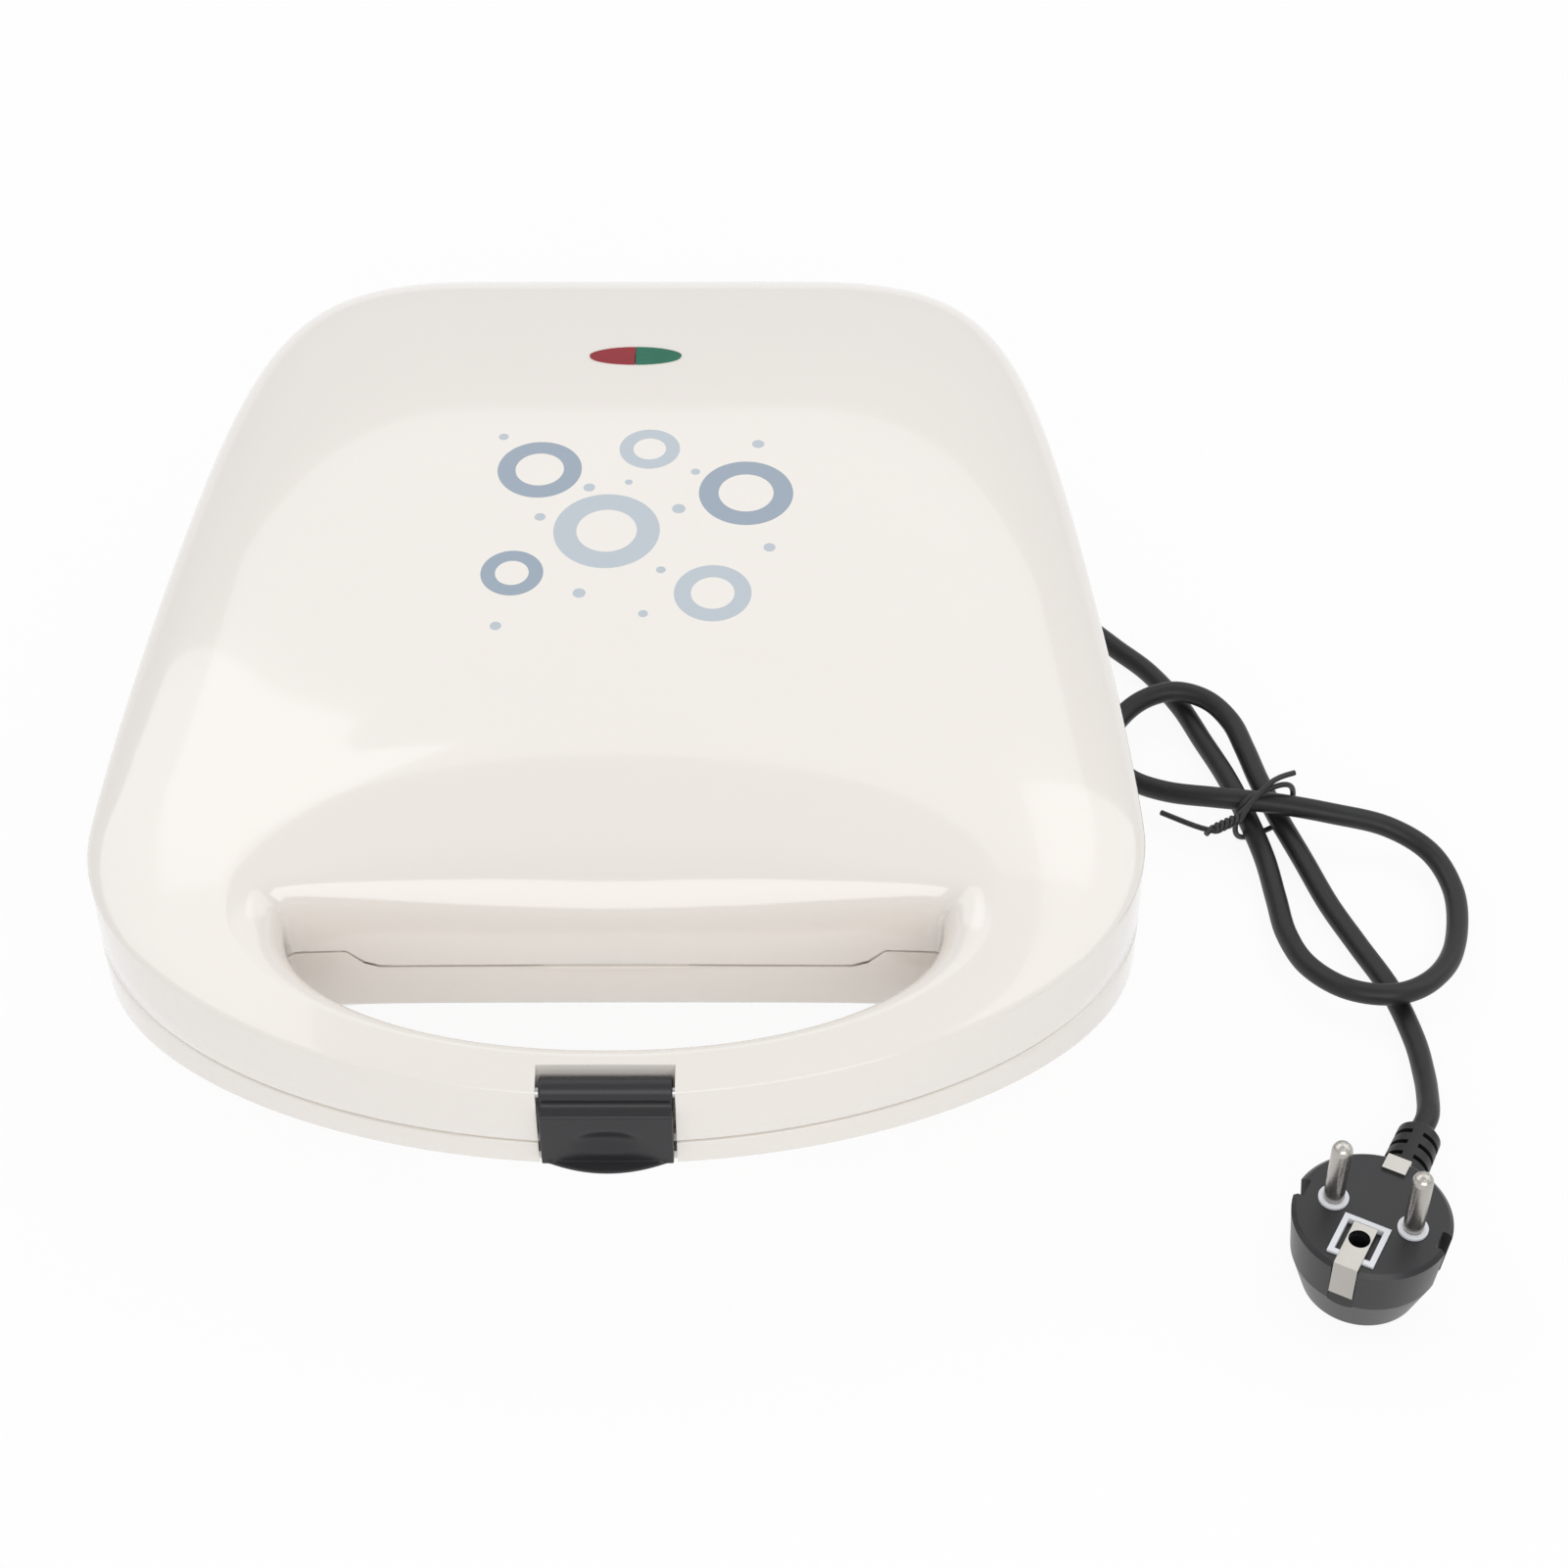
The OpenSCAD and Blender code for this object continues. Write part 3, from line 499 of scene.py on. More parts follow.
@dataclass
class Shells:
    """The two moulded shells. Sizes are in millimetres, and y runs from the front of the lid."""

    width: float = 250.0
    length: float = 291.0
    rear_width: float = 204.0
    widest_y: float = 78.5
    side_power: float = 1.39
    corner_power: float = 8.5
    rear_bow: float = 8.5
    rear_flat: float = 98.0
    body_mid: float = 145.0
    parting: float = 44.5
    gap: float = 0.6
    wall: float = 2.5
    edge: float = 0.5
    rim: float = 7.5
    rim_share: float = 0.3
    tongue: float = 2.0
    tongue_gap: float = 0.05
    dome_mid: float = 0.55
    lid_wall: tuple[float, float] = (16.5, 28.0)
    lid_crown: tuple[float, float] = (20.7, 46.6)
    lid_power: float = 4.0
    crown_share: float = 1.2
    base_wall: tuple[float, float] = (6.2, 31.0)
    base_power: float = 10.0
    bar_depth: float = 12.4
    keel_y: tuple[float, float] = (15.0, 90.0)
    keel_drop: float = 1.0
    foot: float = 5.0
    hole_half: float = 76.5
    hole_front: float = 13.0
    hole_mid: float = 52.0
    hole_rear: float = 2.5
    hole_power: int = 6
    hole_centre: float = 34.2
    hole_wall: float = 12.5
    hole_roll: float = 2.4
    hole_band: float = 6.0
    hole_ease: float = 1.5
    step_x: float = 58.0
    step_run: float = 3.0
    step_y: tuple[float, float] = (38.0, 46.0)
    step_h: float = 5.2
    scoop_side: float = 12.4
    scoop_front: float = 3.7
    scoop_rear: float = 60.0
    scoop_rear_base: float = 44.0
    scoop_ease: float = 1.3
    turns: int = 360
    wall_rows: int = 3
    dome_rows: int = 36
    roll_rows: int = 20
    inner_rows: int = 8
    front: float = 0.0

    def half_width(self, y: float) -> float:
        """Half the shell's width at y."""
        share = min(max((y - self.widest_y) / (self.length - self.widest_y), 0.0), 1.0)
        return self.width / 2 - (self.width - self.rear_width) / 2 * share ** self.side_power

    def reach(self, x: float, y: float) -> float:
        """1 on the outline, less inside."""
        if y < self.widest_y:
            return math.hypot(x / (self.width / 2), (self.widest_y - y) / self.widest_y)
        flat = self.rear_flat / 2
        rear = self.length - self.rear_bow * (max(0.0, abs(x) - flat) / (self.rear_width / 2 - flat)) ** 2
        if rear <= self.widest_y:
            return FAR
        across = (abs(x) / self.half_width(y)) ** self.corner_power
        along = ((y - self.widest_y) / (rear - self.widest_y)) ** self.corner_power
        return (across + along) ** (1 / self.corner_power)

    def hole_reach(self, x: float, y: float) -> float:
        """1 on the edge of the handle hole, less inside."""
        if y < self.hole_mid:
            return math.hypot(x / self.hole_half, (self.hole_mid - y) / (self.hole_mid - self.hole_front))
        across = (abs(x) / self.hole_half) ** self.hole_power
        along = ((y - self.hole_mid) / self.hole_rear) ** self.hole_power
        return (across + along) ** (1 / self.hole_power)

    def scoop_reach(self, x: float, y: float, half: Half) -> float:
        """1 on the outer edge of a shell's scoop, less inside."""
        rear = self.scoop_rear if half is Half.LID else self.scoop_rear_base
        depth = (self.hole_mid - self.hole_front + self.scoop_front if y < self.hole_mid
                 else self.hole_rear + rear)
        return math.hypot(x / (self.hole_half + self.scoop_side), (y - self.hole_mid) / depth)

    def step(self, hole: Vector) -> float:
        """Rise of the joint line at the two ends of the hole's rear wall."""
        side = min(max((abs(hole.x) - self.step_x) / self.step_run, 0.0), 1.0)
        start, end = self.step_y
        return self.step_h * side * min(max((hole.y - start) / (end - start), 0.0), 1.0)

    @staticmethod
    def ray_end(shape: Callable[[float, float], float], from_y: float, angle: float) -> Vector:
        """The place where a ray leaves a shape.

        Args:
            shape: 1 on the shape's edge, less inside.
            from_y: The ray starts at (0, from_y).
            angle: Its direction, in radians.

        Returns:
            The point on the edge.
        """
        low, high = 0.0, FAR
        c, s = math.cos(angle), math.sin(angle)
        for _ in range(HALVINGS):
            mid = (low + high) / 2
            if shape(mid * c, from_y + mid * s) < 1:
                low = mid
            else:
                high = mid
        return Vector((low * c, from_y + low * s))

    def inward(self, angle: float) -> Vector:
        """Unit vector that points in, square to the outline where a ray from the body's middle meets it."""
        step = math.pi / self.turns
        ahead = self.ray_end(self.reach, self.body_mid, angle + step)
        behind = self.ray_end(self.reach, self.body_mid, angle - step)
        return Vector((behind.y - ahead.y, ahead.x - behind.x)).normalized()

    def dome(self, p: Vector, power: float) -> float:
        """0 at the outline, rising to 1 over the middle."""
        mid = self.dome_mid * self.length
        away = Vector((p.x, p.y - mid))
        if away.length < 1:
            return 1.0
        edge = self.ray_end(self.reach, mid, math.atan2(away.y, away.x)) - Vector((0.0, mid))
        return math.sqrt(max(0.0, 1 - min(1.0, away.length / edge.length) ** power))

    def face(self, p: Vector, half: Half) -> float:
        """Height of a shell's outer face over p."""
        along = min(max(p.y / self.length, 0.0), 1.0)
        if half is Half.LID:
            rim = self.parting + self.lid_wall[0] + (self.lid_wall[1] - self.lid_wall[0]) * along
            rise = math.sin(math.pi / 2 * min(self.crown_share * along, 1.0))
            crown = self.parting + self.lid_crown[0] + (self.lid_crown[1] - self.lid_crown[0]) * rise
            return rim + (crown - rim) * self.dome(p, self.lid_power)
        rim = self.parting - self.base_wall[0] - (self.base_wall[1] - self.base_wall[0]) * along
        start, end = self.keel_y
        share = min(max((p.y - start) / (end - start), 0.0), 1.0)
        bar = self.parting - self.bar_depth
        keel = bar + (self.foot - self.keel_drop - bar) * share * share * (3 - 2 * share)
        return max(self.foot, rim + (keel - rim) * self.dome(p, self.base_power))

    def turn_in(self, scoop: Vector, hole: Vector, half: Half) -> tuple[float, float, float]:
        """How a shell's face turns down into the hole.

        Args:
            scoop: Outer edge of the scoop on a ray.
            hole: Edge of the hole on the same ray.
            half: Lid or base.

        Returns:
            Height where the turn ends, its radius, and the height that the scoop takes before the turn.
        """
        face_z = self.face(scoop, half)
        if half is Half.LID:
            full = face_z - self.parting - self.hole_band
            radius = full * (1 - math.exp(-self.scoop_ease * (scoop - hole).length / full))
            return face_z - radius, radius, 0.0
        end_z = self.parting - min(self.hole_wall, self.parting - face_z - self.hole_roll)
        return end_z, self.hole_roll, end_z - self.hole_roll - face_z

    def profile(self, angle: float, half: Half) -> list[Vector]:
        """Closed profile of a shell on one ray.

        Args:
            angle: Direction of the ray, in radians.
            half: Lid or base.

        Returns:
            The profile's points: up the outside, down into the hole, along the rims and back inside.
        """
        up = half.value
        outer, inward = self.ray_end(self.reach, self.body_mid, angle), self.inward(angle)
        aim = math.atan2(outer.y - self.hole_centre, outer.x)
        hole = self.ray_end(self.hole_reach, self.hole_centre, aim)
        scoop = self.ray_end(lambda x, y: self.scoop_reach(x, y, half), self.hole_centre, aim)
        away = (scoop - hole).normalized()
        joint = self.parting + up * self.gap / 2
        hole_joint = joint + self.step(hole)
        lip = min(self.rim, self.rim_share * (outer - hole).length)
        end_z, radius, rest = self.turn_in(scoop, hole, half)
        quarter = math.pi / 2
        soft, softer = self.edge, self.edge * 0.3
        wall = up * self.wall

        def at(p: Vector, z: float) -> Vector:
            """A point of the profile in space."""
            return Vector((p.x, p.y, z))

        def rolled(a: float, thick: float = 0.0) -> float:
            """Height of the face that turns into the hole, at an angle of its quarter turn."""
            return end_z + up * (radius - thick) * math.cos(a) - rest * (1 - math.sin(a)) ** self.hole_ease

        rows = [at(outer + inward * soft, joint), at(outer + inward * softer, joint + up * softer)]
        start = joint + up * soft
        side = self.face(outer, half) - start
        rows += [at(outer, start + side * k / self.wall_rows) for k in range(self.wall_rows + 1)]
        for j in range(1, self.dome_rows + 1):
            p = outer.lerp(scoop, 1 - math.cos(quarter * j / self.dome_rows))
            rows.append(at(p, self.face(p, half)))
        for j in range(1, self.roll_rows + 1):
            a = quarter * j / self.roll_rows
            rows.append(at(scoop.lerp(hole, math.sin(a)), rolled(a)))
        rows += [at(hole, hole_joint + up * soft), at(hole + away * soft, hole_joint)]
        top = hole_joint
        if half is Half.BASE:
            top = hole_joint + self.gap - self.tongue_gap
            foot = hole + away * (lip - self.tongue)
            rows += [at(foot, hole_joint), at(foot, top)]
        rows += [at(hole + away * lip, top), at(hole + away * lip, hole_joint + wall)]
        rows.append(at(hole + away * self.wall, hole_joint + wall))
        for j in range(self.inner_rows + 1):
            a = quarter * (1 - j / self.inner_rows)
            rows.append(at(scoop.lerp(hole + away * self.wall, math.sin(a)), rolled(a, self.wall)))
        inner = outer + inward * self.wall
        for j in range(1, self.inner_rows + 1):
            p = scoop.lerp(inner, math.sin(quarter * j / self.inner_rows))
            rows.append(at(p, self.face(p, half) - wall))
        rows += [at(inner, joint + wall), at(outer + inward * lip, joint + wall)]
        return rows + [at(outer + inward * lip, joint)]

    def mesh(self, half: Half) -> bmesh.types.BMesh:
        """One shell, as a grid wrapped round the handle hole.

        Args:
            half: Lid or base.

        Returns:
            The shell's mesh, in metres.
        """
        profiles = [self.profile(2 * math.pi * (i + 0.5) / self.turns, half) for i in range(self.turns)]
        count = len(profiles[0])
        bm = bmesh.new()
        bmesh.ops.create_grid(bm, x_segments=self.turns, y_segments=count, size=1.0)
        for vert in bm.verts:
            i = round((vert.co.x + 1) / 2 * self.turns) % self.turns
            j = round((vert.co.y + 1) / 2 * count) % count
            p = profiles[i][j]
            vert.co = Vector((p.x, p.y + self.front, p.z)) * MM
        bmesh.ops.remove_doubles(bm, verts=bm.verts, dist=1e-7)
        bmesh.ops.recalc_face_normals(bm, faces=bm.faces)
        return bm


@dataclass
class Body:
    """The shells as dressed pieces, with the pocket that the latch lies in."""

    form: Shells
    latch_half: float = 14.8
    latch_gap: float = 0.7
    pocket_front: float = 0.9
    pocket_back: float = 7.2
    pocket_wall: float = 1.2
    pocket_clear: float = 0.06
    pocket_sunk: float = 0.1
    catch_back: float = 3.5
    cut_ahead: float = 10.0
    cut_past: float = 3.0
    cut_over: float = 40.0
    cut_under: float = 30.0
    lens_length: float = 24.4
    lens_width: float = 7.9
    lens_gap: float = 0.3
    lens_y: float = 236.0
    lens_cut: tuple[float, float] = (30.0, 60.0)
    sharp_deg: float = 52.0

    def world(self, x: float, y: float, z: float) -> Point:
        """A point given from the front of the lid, in the frame's metres."""
        return (x * MM, (y + self.form.front) * MM, z * MM)

    def pocket(self) -> bmesh.types.BMesh:
        """Side and back walls behind the latch, as high as the lid's face over them.

        Returns:
            The walls, open to the front, above and below.
        """
        f = self.form
        half = self.latch_half + self.latch_gap - self.pocket_clear
        front, back = self.pocket_front, self.pocket_back - self.pocket_clear
        low = f.parting + f.gap / 2
        tops = [f.face(Vector((half, y)), Half.LID) - self.pocket_sunk for y in (front, back)]
        bm = block(self.world(-half, front, low), self.world(half, back, low + self.cut_over))
        slope = Vector((0.0, tops[0] - tops[1], back - front)).normalized()
        bmesh.ops.bisect_plane(bm, geom=bm.verts[:] + bm.edges[:] + bm.faces[:],
                               plane_co=self.world(0, front, tops[0]), plane_no=slope, clear_outer=True)
        ends = [min(bm.faces, key=lambda g: g.calc_center_median().y),
                min(bm.faces, key=lambda g: g.calc_center_median().z)]
        bmesh.ops.delete(bm, geom=ends, context="FACES")
        bmesh.ops.solidify(bm, geom=bm.faces, thickness=-self.pocket_wall * MM)
        bmesh.ops.recalc_face_normals(bm, faces=bm.faces)
        return bm

    def window(self) -> bmesh.types.BMesh:
        """The lamp window's opening, as an upright oval prism.

        Returns:
            The prism.
        """
        bm = bmesh.new()
        bmesh.ops.create_circle(bm, cap_ends=True, segments=64, radius=0.5)
        made = bmesh.ops.extrude_face_region(bm, geom=list(bm.faces))
        tops = [g for g in made["geom"] if isinstance(g, bmesh.types.BMVert)]
        bmesh.ops.translate(bm, vec=(0, 0, 1), verts=tops)
        low, high = self.lens_cut
        size = (self.lens_length + self.lens_gap, self.lens_width + self.lens_gap, high - low)
        bmesh.ops.scale(bm, vec=Vector(size) * MM, verts=bm.verts)
        bmesh.ops.translate(bm, vec=self.world(0, self.lens_y, self.form.parting + low), verts=bm.verts)
        bmesh.ops.recalc_face_normals(bm, faces=bm.faces)
        return bm

    def build(self, half: Half, material: bpy.types.Material) -> None:
        """Makes one shell, and with the lid the latch's pocket.

        Args:
            half: Lid or base.
            material: The shell's finish.
        """
        f = self.form
        name = "lid" if half is Half.LID else "base"
        shell = new_object(f"{name}_moulding", f.mesh(half), material, self.sharp_deg)
        side = self.latch_half + self.latch_gap
        back, low, high = self.catch_back, f.parting - self.cut_under, f.parting + self.cut_past
        if half is Half.LID:
            back, low, high = self.pocket_back, f.parting - self.cut_past, f.parting + self.cut_over
        carve(shell, block(self.world(-side, -self.cut_ahead, low), self.world(side, back, high)))
        pieces = [shell]
        if half is Half.LID:
            carve(shell, self.window())
            pieces.append(new_object("latch_pocket", self.pocket(), material))
        for piece in pieces:
            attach(piece, name)
        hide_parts(f"{name}_shell")


@dataclass
class Latch:
    """The black latch: a barrel, a hollowed neck, and a face with a bowed thumb lip."""

    form: Shells
    half: float = 14.8
    pin_y: float = 4.0
    pin_h: float = 13.9
    barrel: float = 2.9
    barrel_deg: tuple[int, int] = (-40, 200)
    barrel_step: int = 8
    neck: float = 3.1
    neck_hollow: float = 0.9
    neck_rows: int = 7
    face_y: float = -1.4
    face_rows: int = 16
    thick: float = 3.0
    back_drop: float = 7.0
    drop: float = 5.0
    lip: float = 3.0
    lip_half: float = 13.2
    lip_thick: float = 0.9
    shelf_gap: float = 0.1
    dimple_z: float = 47.0
    dimple_half: tuple[float, float] = (8.4, 3.7)
    dimple_deep: float = 1.2
    dimple_power: float = 1.5
    slices: int = 40
    edge: float = 0.35
    edge_deg: float = 50.0

    def outline(self) -> list[tuple[float, float]]:
        """Side outline of the latch, as y and z, from the barrel down the front and up the back."""
        pin_z = self.form.parting + self.pin_h
        foot = self.form.parting - self.drop
        first, last = self.barrel_deg
        turns = [math.radians(d) for d in range(first, last + 1, self.barrel_step)]
        barrel = [(self.pin_y + self.barrel * math.cos(a), pin_z + self.barrel * math.sin(a)) for a in turns]
        neck_top, neck_end = barrel[-1], (self.face_y, pin_z - self.neck)
        neck = []
        for k in range(1, self.neck_rows):
            t = k / self.neck_rows
            hollow = self.neck_hollow * math.sin(math.pi * t)
            neck.append((neck_top[0] + (neck_end[0] - neck_top[0]) * t + hollow,
                         neck_top[1] + (neck_end[1] - neck_top[1]) * t))
        shelf = foot + self.lip_thick
        fall = shelf + self.shelf_gap - neck_end[1]
        face = [(self.face_y, neck_end[1] + fall * k / self.face_rows) for k in range(self.face_rows + 1)]
        face += [(self.face_y, shelf), (self.face_y, foot)]
        back_y = self.face_y + self.thick
        return barrel + neck + face + [(back_y, foot), (back_y, pin_z - self.back_drop)]

    def bow(self, bm: bmesh.types.BMesh) -> None:
        """Bows the lip forward and sinks the thumb's dimple.

        Args:
            bm: The latch's mesh, which is changed.
        """
        shelf = (self.form.parting - self.drop + self.lip_thick + self.shelf_gap / 2) * MM
        front = (self.face_y + self.shelf_gap / 2 + self.form.front) * MM
        for vert in bm.verts:
            if vert.co.y > front:
                continue
            if vert.co.z < shelf:
                vert.co.y -= self.lip * max(0.0, 1 - (vert.co.x / (self.lip_half * MM)) ** 2) * MM
            else:
                across = vert.co.x / (self.dimple_half[0] * MM)
                along = (vert.co.z - self.dimple_z * MM) / (self.dimple_half[1] * MM)
                depth = max(0.0, 1 - math.hypot(across, along) ** 2) ** self.dimple_power
                vert.co.y += self.dimple_deep * depth * MM

    def build(self, material: bpy.types.Material) -> None:
        """Makes the latch.

        Args:
            material: Its finish.
        """
        bm = bmesh.new()
        verts = [bm.verts.new(Vector((-self.half, y + self.form.front, z)) * MM) for y, z in self.outline()]
        bm.faces.new(verts)
        made = bmesh.ops.extrude_face_region(bm, geom=list(bm.faces))
        ends = [g for g in made["geom"] if isinstance(g, bmesh.types.BMVert)]
        bmesh.ops.translate(bm, vec=(2 * self.half * MM, 0, 0), verts=ends)
        for k in range(1, self.slices):
            x = (-self.half + 2 * self.half * k / self.slices) * MM
            bmesh.ops.bisect_plane(bm, geom=bm.verts[:] + bm.edges[:] + bm.faces[:], plane_co=(x, 0, 0),
                                   plane_no=(1, 0, 0))
        self.bow(bm)
        bmesh.ops.recalc_face_normals(bm, faces=bm.faces)
        sharp = math.radians(self.edge_deg)
        rims = [e for e in bm.edges if len(e.link_faces) == 2 and e.calc_face_angle(0.0) > sharp]
        bmesh.ops.bevel(bm, geom=rims, offset=self.edge * MM, segments=2, profile=0.5, affect="EDGES",
                        material=-1)
        piece = new_object("latch_moulding", bm, material)
        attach(piece, "latch")
        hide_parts("latch")


@dataclass
class Flex:
    """The mains cord, its twist tie and what is on its ends. The route's points are millimetres."""

    front: float
    route: list[Point]
    diameter: float = 5.6
    tie_at: Point = (166.5, 144.0, 8.9)
    tie_turn: float = -62.0
    tie_half: float = 9.0
    tie_rise: float = 7.8
    tie_wire: float = 1.5
    tie_power: float = 0.67
    tie_points: int = 72
    neck: tuple[Point, Point] = ((158.4, 135.7, 14.2), (151.7, 132.4, 13.4))
    twist_radius: float = 0.8
    twist_across: tuple[float, float] = (-0.45, 0.89)
    twist_turns: float = 2.5
    twist_points: int = 20
    tie_ends: tuple[tuple[list[Point], list[Point], float], ...] = (
        ([(163.5, 141.6, 16.9), (160.5, 138.4, 15.6)], [(147.0, 134.5, 12.6), (138.9, 141.2, 11.0)], 0.0),
        ([(174.0, 148.6, 18.4), (168.0, 145.0, 18.9), (161.5, 139.0, 16.4)], [(149.5, 131.0, 13.0)], 0.5))

    def metres(self, p: Sequence[float]) -> Vector:
        """A point of the route in the frame's metres."""
        return Vector((p[0], p[1] + self.front, p[2])) * MM

    def build_cord(self, material: bpy.types.Material) -> None:
        """Args:
            material: Its finish.
        """
        line = catmull([self.metres(p) for p in self.route], 8)
        length = sum((b - a).length for a, b in zip(line, line[1:]))
        cord = wire_object("mains_cord", line, self.diameter / 2 * MM, material)
        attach(cord, "base")
        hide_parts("cord")
        LOG.info("cord length %.3f m", length)

    def tie_point(self, angle: float) -> Vector:
        """A point on the tie's loop round the three strands."""
        turn = math.radians(self.tie_turn)

        def square(v: float) -> float:
            """A circle's sine or cosine made that of a rounded square."""
            return math.copysign(abs(v) ** self.tie_power, v)

        across = self.tie_half * square(math.cos(angle))
        rise = self.tie_rise * square(math.sin(angle))
        x, y, z = self.tie_at
        return self.metres((x - across * math.sin(turn), y + across * math.cos(turn), z + rise))

    def build_tie(self, material: bpy.types.Material) -> None:
        """Makes the wire tie round the strands, and its two twisted ends.

        Args:
            material: Its finish.
        """
        loop = [self.tie_point(2 * math.pi * k / self.tie_points) for k in range(self.tie_points)]
        tie = wire_object("twist_tie_wire", loop, self.tie_wire / 2 * MM, material, closed=True)
        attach(tie, "base")
        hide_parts("twist_tie")
        for number, (start, finish, phase) in enumerate(self.tie_ends, 1):
            line = catmull([self.metres(p) for p in start + self.twisted(phase) + finish], 4)
            end = wire_object(f"twist_tie_end_{number}", line, self.tie_wire / 2 * MM, material)
            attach(end, "base")

    def twisted(self, phase: float) -> list[Point]:
        """One strand of the tie's twisted neck.

        Args:
            phase: Its start round the neck, in turns.

        Returns:
            The strand's points.
        """
        out = []
        for k in range(self.twist_points + 1):
            t = k / self.twist_points
            turn = 2 * math.pi * (self.twist_turns * t + phase)
            x, y, z = (a + (b - a) * t for a, b in zip(*self.neck))
            across, rise = self.twist_radius * math.cos(turn), self.twist_radius * math.sin(turn)
            out.append((x + self.twist_across[0] * across, y + self.twist_across[1] * across, z + rise))
        return out


@dataclass
class Studio:
    """Camera, lamps, floor and world. A lamp has a name, a place, a size in metres and its watts."""

    camera_at: Point = (0.038783, -0.600826, 0.584004)
    tilt_deg: float = 46.53
    turn_deg: float = -0.079
    focal_mm: float = 71.96
    lamps_aim: Point = (0.0, 0.0, 0.04)
    lamps: tuple[tuple[str, Point, tuple[float, float], float], ...] = (
        ("key", (-0.9, 0.35, 1.1), (1.2, 1.2), 4.5),
        ("fill", (1.0, 0.2, 1.0), (1.2, 1.2), 4.0),
        ("top", (0.0, 0.9, 1.3), (1.8, 0.9), 3.4),
        ("front", (0.15, -1.3, 0.8), (1.4, 0.8), 7.3))
    sky_colour: tuple[float, float, float, float] = (0.95, 0.97, 1.0, 1.0)
    sky_strength: float = 0.5
    floor_half: float = 6.0
    floor_colour: tuple[float, float, float, float] = (0.93, 0.93, 0.93, 1.0)
    floor_roughness: float = 0.9
    floor_glow: float = 0.92

    def camera(self) -> None:
        """Places the camera and makes it the scene's own."""
        data = bpy.data.cameras.new("camera")
        data.sensor_width = 36.0
        data.sensor_fit = "HORIZONTAL"
        data.lens = self.focal_mm
        made = bpy.data.objects.new("camera", data)
        made.location = self.camera_at
        made.rotation_euler = (math.radians(self.tilt_deg), 0.0, math.radians(self.turn_deg))
        bpy.context.collection.objects.link(made)
        bpy.context.scene.camera = made

    def lamp(self, name: str, at: Point, size: tuple[float, float], watts: float) -> None:
        """Adds a soft lamp that faces the object.

        Args:
            name: Its name.
            at: Its place, in metres.
            size: Its width and height, in metres.
            watts: Its power.
        """
        data = bpy.data.lights.new(name, "AREA")
        data.shape = "RECTANGLE"
        data.size, data.size_y = size
        data.energy = watts
        made = bpy.data.objects.new(name, data)
        made.location = at
        made.rotation_euler = (Vector(self.lamps_aim) - Vector(at)).to_track_quat("-Z", "Y").to_euler()
        bpy.context.collection.objects.link(made)

    def surroundings(self) -> None:
        """Makes the world, the lamps and the floor."""
        world = bpy.data.worlds.new("world")
        bpy.context.scene.world = world
        world.use_nodes = True
        nodes, links = world.node_tree.nodes, world.node_tree.links
        nodes.clear()
        out = nodes.new("ShaderNodeOutputWorld")
        path = nodes.new("ShaderNodeLightPath")
        mix = nodes.new("ShaderNodeMixShader")
        soft, white = nodes.new("ShaderNodeBackground"), nodes.new("ShaderNodeBackground")
        soft.inputs["Color"].default_value = self.sky_colour
        soft.inputs["Strength"].default_value = self.sky_strength
        white.inputs["Strength"].default_value = 1.0
        seen = path.outputs["Is Camera Ray"]
        for kind in ("Is Glossy Ray", "Is Transmission Ray"):
            both = nodes.new("ShaderNodeMath")
            both.operation = "MAXIMUM"
            links.new(seen, both.inputs[0])
            links.new(path.outputs[kind], both.inputs[1])
            seen = both.outputs[0]
        links.new(seen, mix.inputs[0])
        links.new(soft.outputs[0], mix.inputs[1])
        links.new(white.outputs[0], mix.inputs[2])
        links.new(mix.outputs[0], out.inputs[0])
        for lamp in self.lamps:
            self.lamp(*lamp)
        self.floor()

    def floor(self) -> None:
        """Makes the white floor, which keeps the object's shadow."""
        bm = bmesh.new()
        bmesh.ops.create_grid(bm, x_segments=1, y_segments=1, size=self.floor_half)
        graph = Graph("floor_white")
        graph.feed(graph.shader, {"Base Color": self.floor_colour, "Roughness": self.floor_roughness})
        glow = graph.node("ShaderNodeEmission", {}, {"Color": (1.0, 1.0, 1.0, 1.0), "Strength": 1.0})
        path = graph.node("ShaderNodeLightPath")
        seen = Wire(graph, path.outputs["Is Camera Ray"])
        for kind in ("Is Glossy Ray", "Is Transmission Ray"):
            seen = seen.larger(Wire(graph, path.outputs[kind]))
        mix = graph.node("ShaderNodeMixShader", {},
                         {0: seen * self.floor_glow, 1: graph.shader.outputs[0], 2: glow.outputs[0]})
        graph.feed(graph.output, {"Surface": mix.outputs[0]})
        new_object("floor", bm, graph.material)


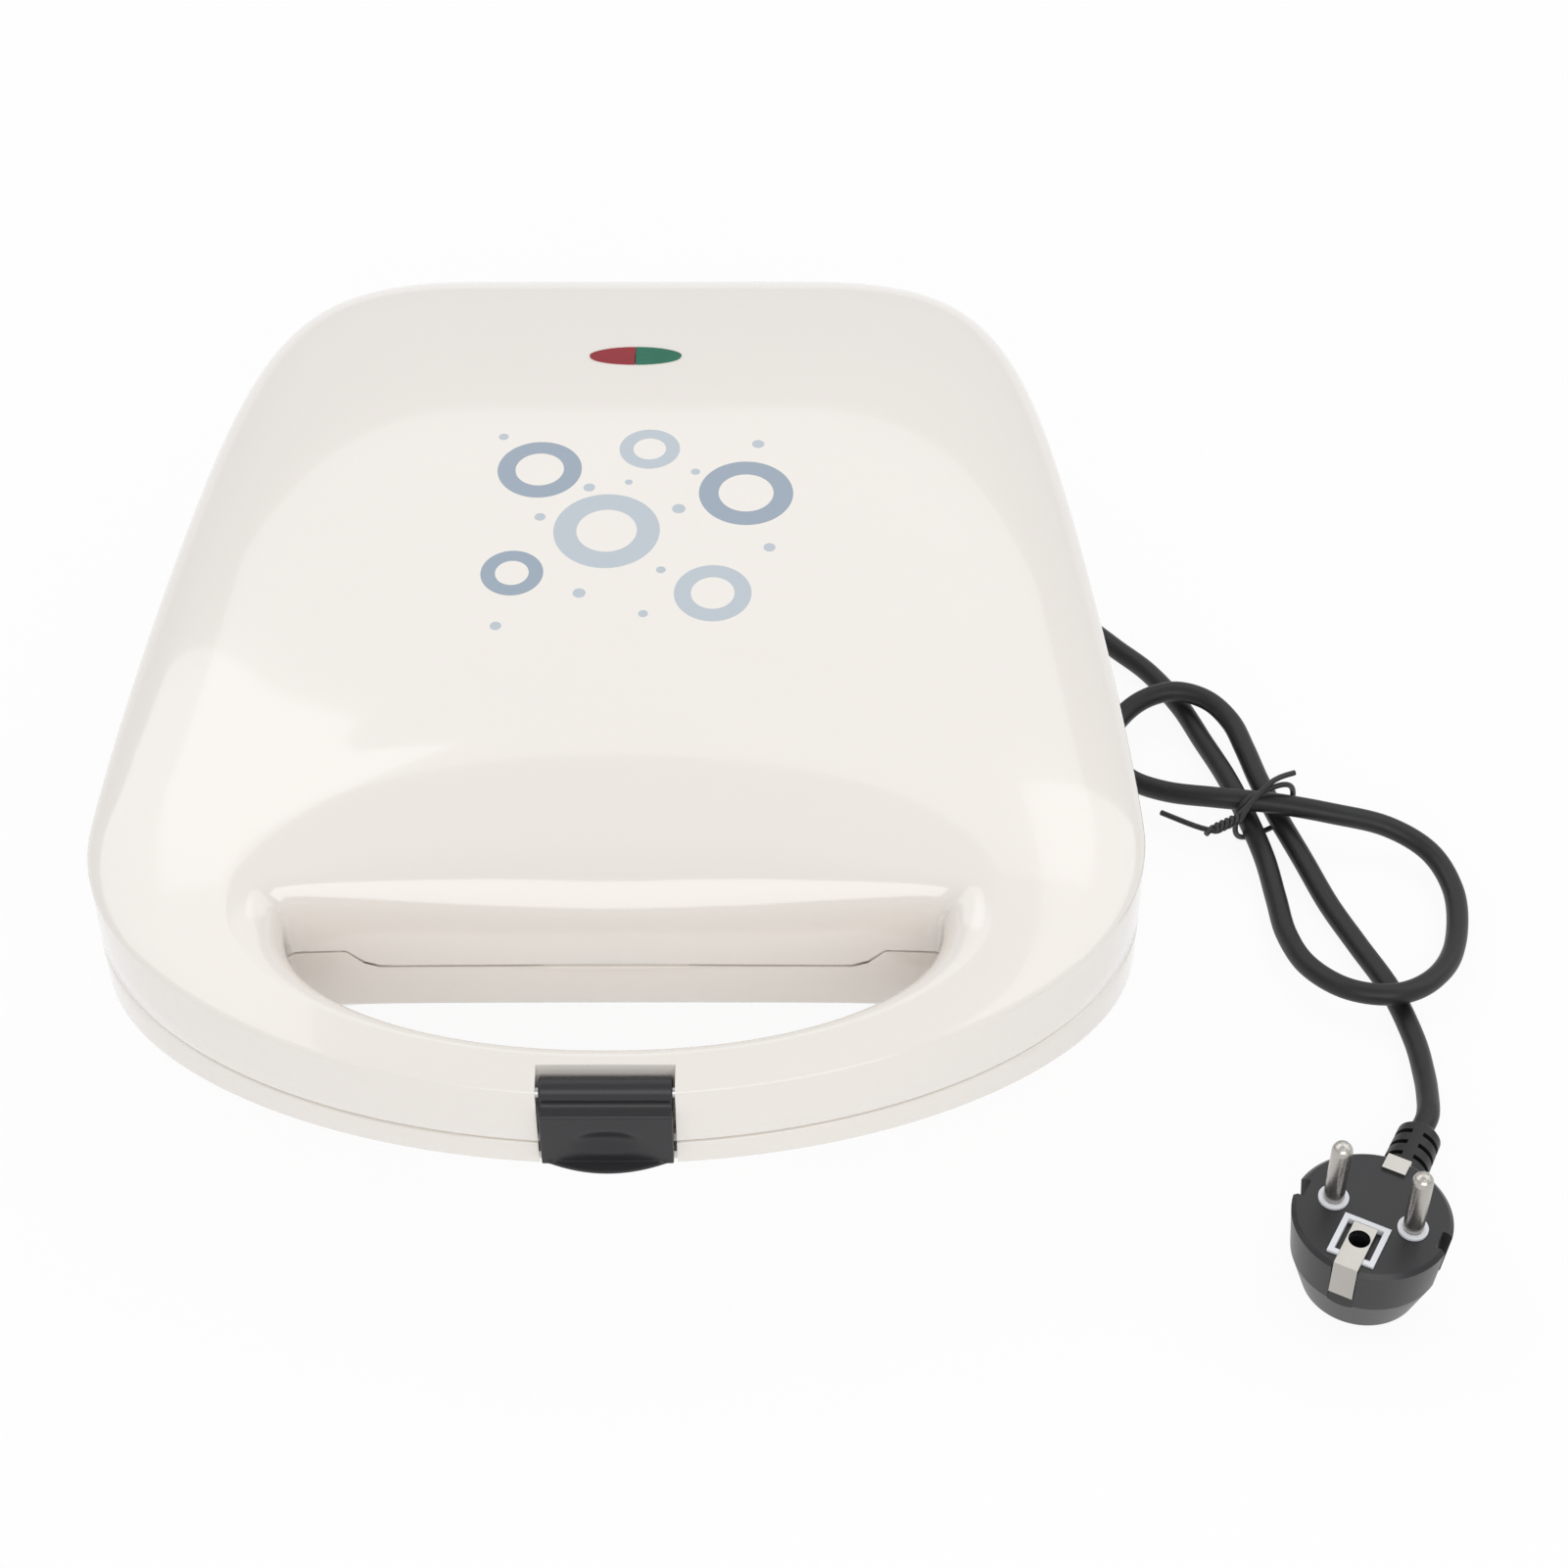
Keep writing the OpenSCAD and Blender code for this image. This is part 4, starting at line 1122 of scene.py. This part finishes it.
# The free cord's route, in millimetres from the front of the lid; the last point is at the plug's relief.
ROUTE: list[Point] = [
    (60, 317, 22), (60, 327, 21.2), (61, 338, 18), (64, 349.5, 13.4), (72.5, 357.5, 9),
    (83.5, 360.5, 5.6), (95, 357.5, 3.7), (103, 349.5, 3.1), (106.5, 338, 3.1), (109, 325.5, 3.1),
    (111.5, 312, 3.1), (113, 295, 3.1), (114, 278, 3.1), (115.5, 261, 3.1), (118, 245, 3.1),
    (123.5, 229.5, 3.1), (132.5, 217, 3.1), (141.5, 206, 3.1), (149, 192, 3.1), (154, 176.5, 3.8),
    (158.5, 161.5, 5), (162, 146.5, 5.7), (165.5, 131, 4.6), (167, 116.5, 4), (168, 103, 4.8),
    (171.5, 90, 7), (179.5, 80.5, 8.8), (190, 77.5, 9.5), (199.5, 81.5, 8.6), (207.5, 91.5, 6.6),
    (212, 105, 5), (213, 119, 5), (208.5, 131, 6.6), (198, 138, 9), (183.5, 140, 11.8),
    (169, 143.5, 12.1), (154, 146.5, 11.4), (141.5, 151.5, 8.8), (132.5, 159, 6.4), (128, 169, 5.4),
    (129.5, 179.5, 6.2), (137, 187.5, 8.4), (146.5, 190.5, 9.7), (155.5, 187.5, 9.3), (161.5, 180, 8),
    (164.5, 170, 6.8), (167, 159, 5.9), (170.5, 145.5, 5.5), (175.5, 130.5, 4.4), (180.5, 115, 3.3),
    (186, 101, 3.1), (192.3, 85, 3.1), (195.8, 68.5, 3.1), (196.3, 56.5, 4), (195.6, 47.5, 6),
    (194.2, 39.55, 8), (191.63, 34.37, 8),
]

# Middle of the print, in millimetres from the front of the lid.
PRINT_AT = (3.0, 166.0)

CREAM = {"colour": (0.875, 0.822, 0.762), "roughness": 0.16, "coat": 0.8, "mottle": 0.012, "depth_mm": 0.004}
FINISHES = {
    "cream_gloss": Moulded("cream_plastic", **CREAM),
    "rubber_black": Moulded("flexible_pvc", (0.014, 0.014, 0.015), 0.42, depth_mm=0.02, shine=0.35),
    "black_plastic": Moulded("black_plastic", (0.02, 0.02, 0.022), 0.34, shine=0.4),
    "white_plastic": Moulded("white_plastic", (0.8, 0.81, 0.84), 0.4),
    "steel_sheet": Metal("rolled_steel", (0.62, 0.62, 0.6), 0.32),
    "steel_zinc": Metal("zinc_plate", (0.66, 0.66, 0.66), 0.35),
    "nonstick_plate": Metal("nonstick_coating", (0.05, 0.05, 0.052), 0.45, metallic=0.3),
    "heater_steel": Metal("heater_tube", (0.35, 0.33, 0.31), 0.4),
    "fuse_metal": Metal("fuse_brass", (0.7, 0.62, 0.45), 0.3),
    "nickel": Metal("nickel_plate", (0.50, 0.48, 0.45), 0.28),
    "lens_red": Tinted("red_lens", (0.5, 0.015, 0.03)),
    "lens_green": Tinted("green_lens", (0.005, 0.25, 0.14)),
    "lamp_glass": Tinted("neon_glass", (0.9, 0.6, 0.4), 0.8),
}


def main() -> None:
    """Builds the scene round the frame."""
    logging.basicConfig(level=logging.INFO, format="%(message)s")
    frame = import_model()
    bpy.context.scene.view_settings.view_transform = "Standard"
    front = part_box("lid_shell")[0].y / MM
    studio = Studio()
    studio.camera()
    skins = {slot: finish.build() for slot, finish in FINISHES.items()}
    flex = Flex(front, ROUTE)
    flex.build_tie(skins["black_plastic"])
    flex.build_cord(skins["rubber_black"])
    for part in frame["record"]["subparts"]:
        node = frame["nodes"][part["node"]]
        node.data.materials.clear()
        node.data.materials.append(skins[part["material_slot"]])
        LOG.info("dressed %s", part["node"])
    form = Shells(front=front)
    body = Body(form)
    printed = Printed("printed_cream", **CREAM, centre=(PRINT_AT[0] * MM, (PRINT_AT[1] + front) * MM))
    body.build(Half.LID, printed.build())
    body.build(Half.BASE, skins["cream_gloss"])
    Latch(form).build(skins["black_plastic"])
    studio.surroundings()


if __name__ == "__main__":
    main()
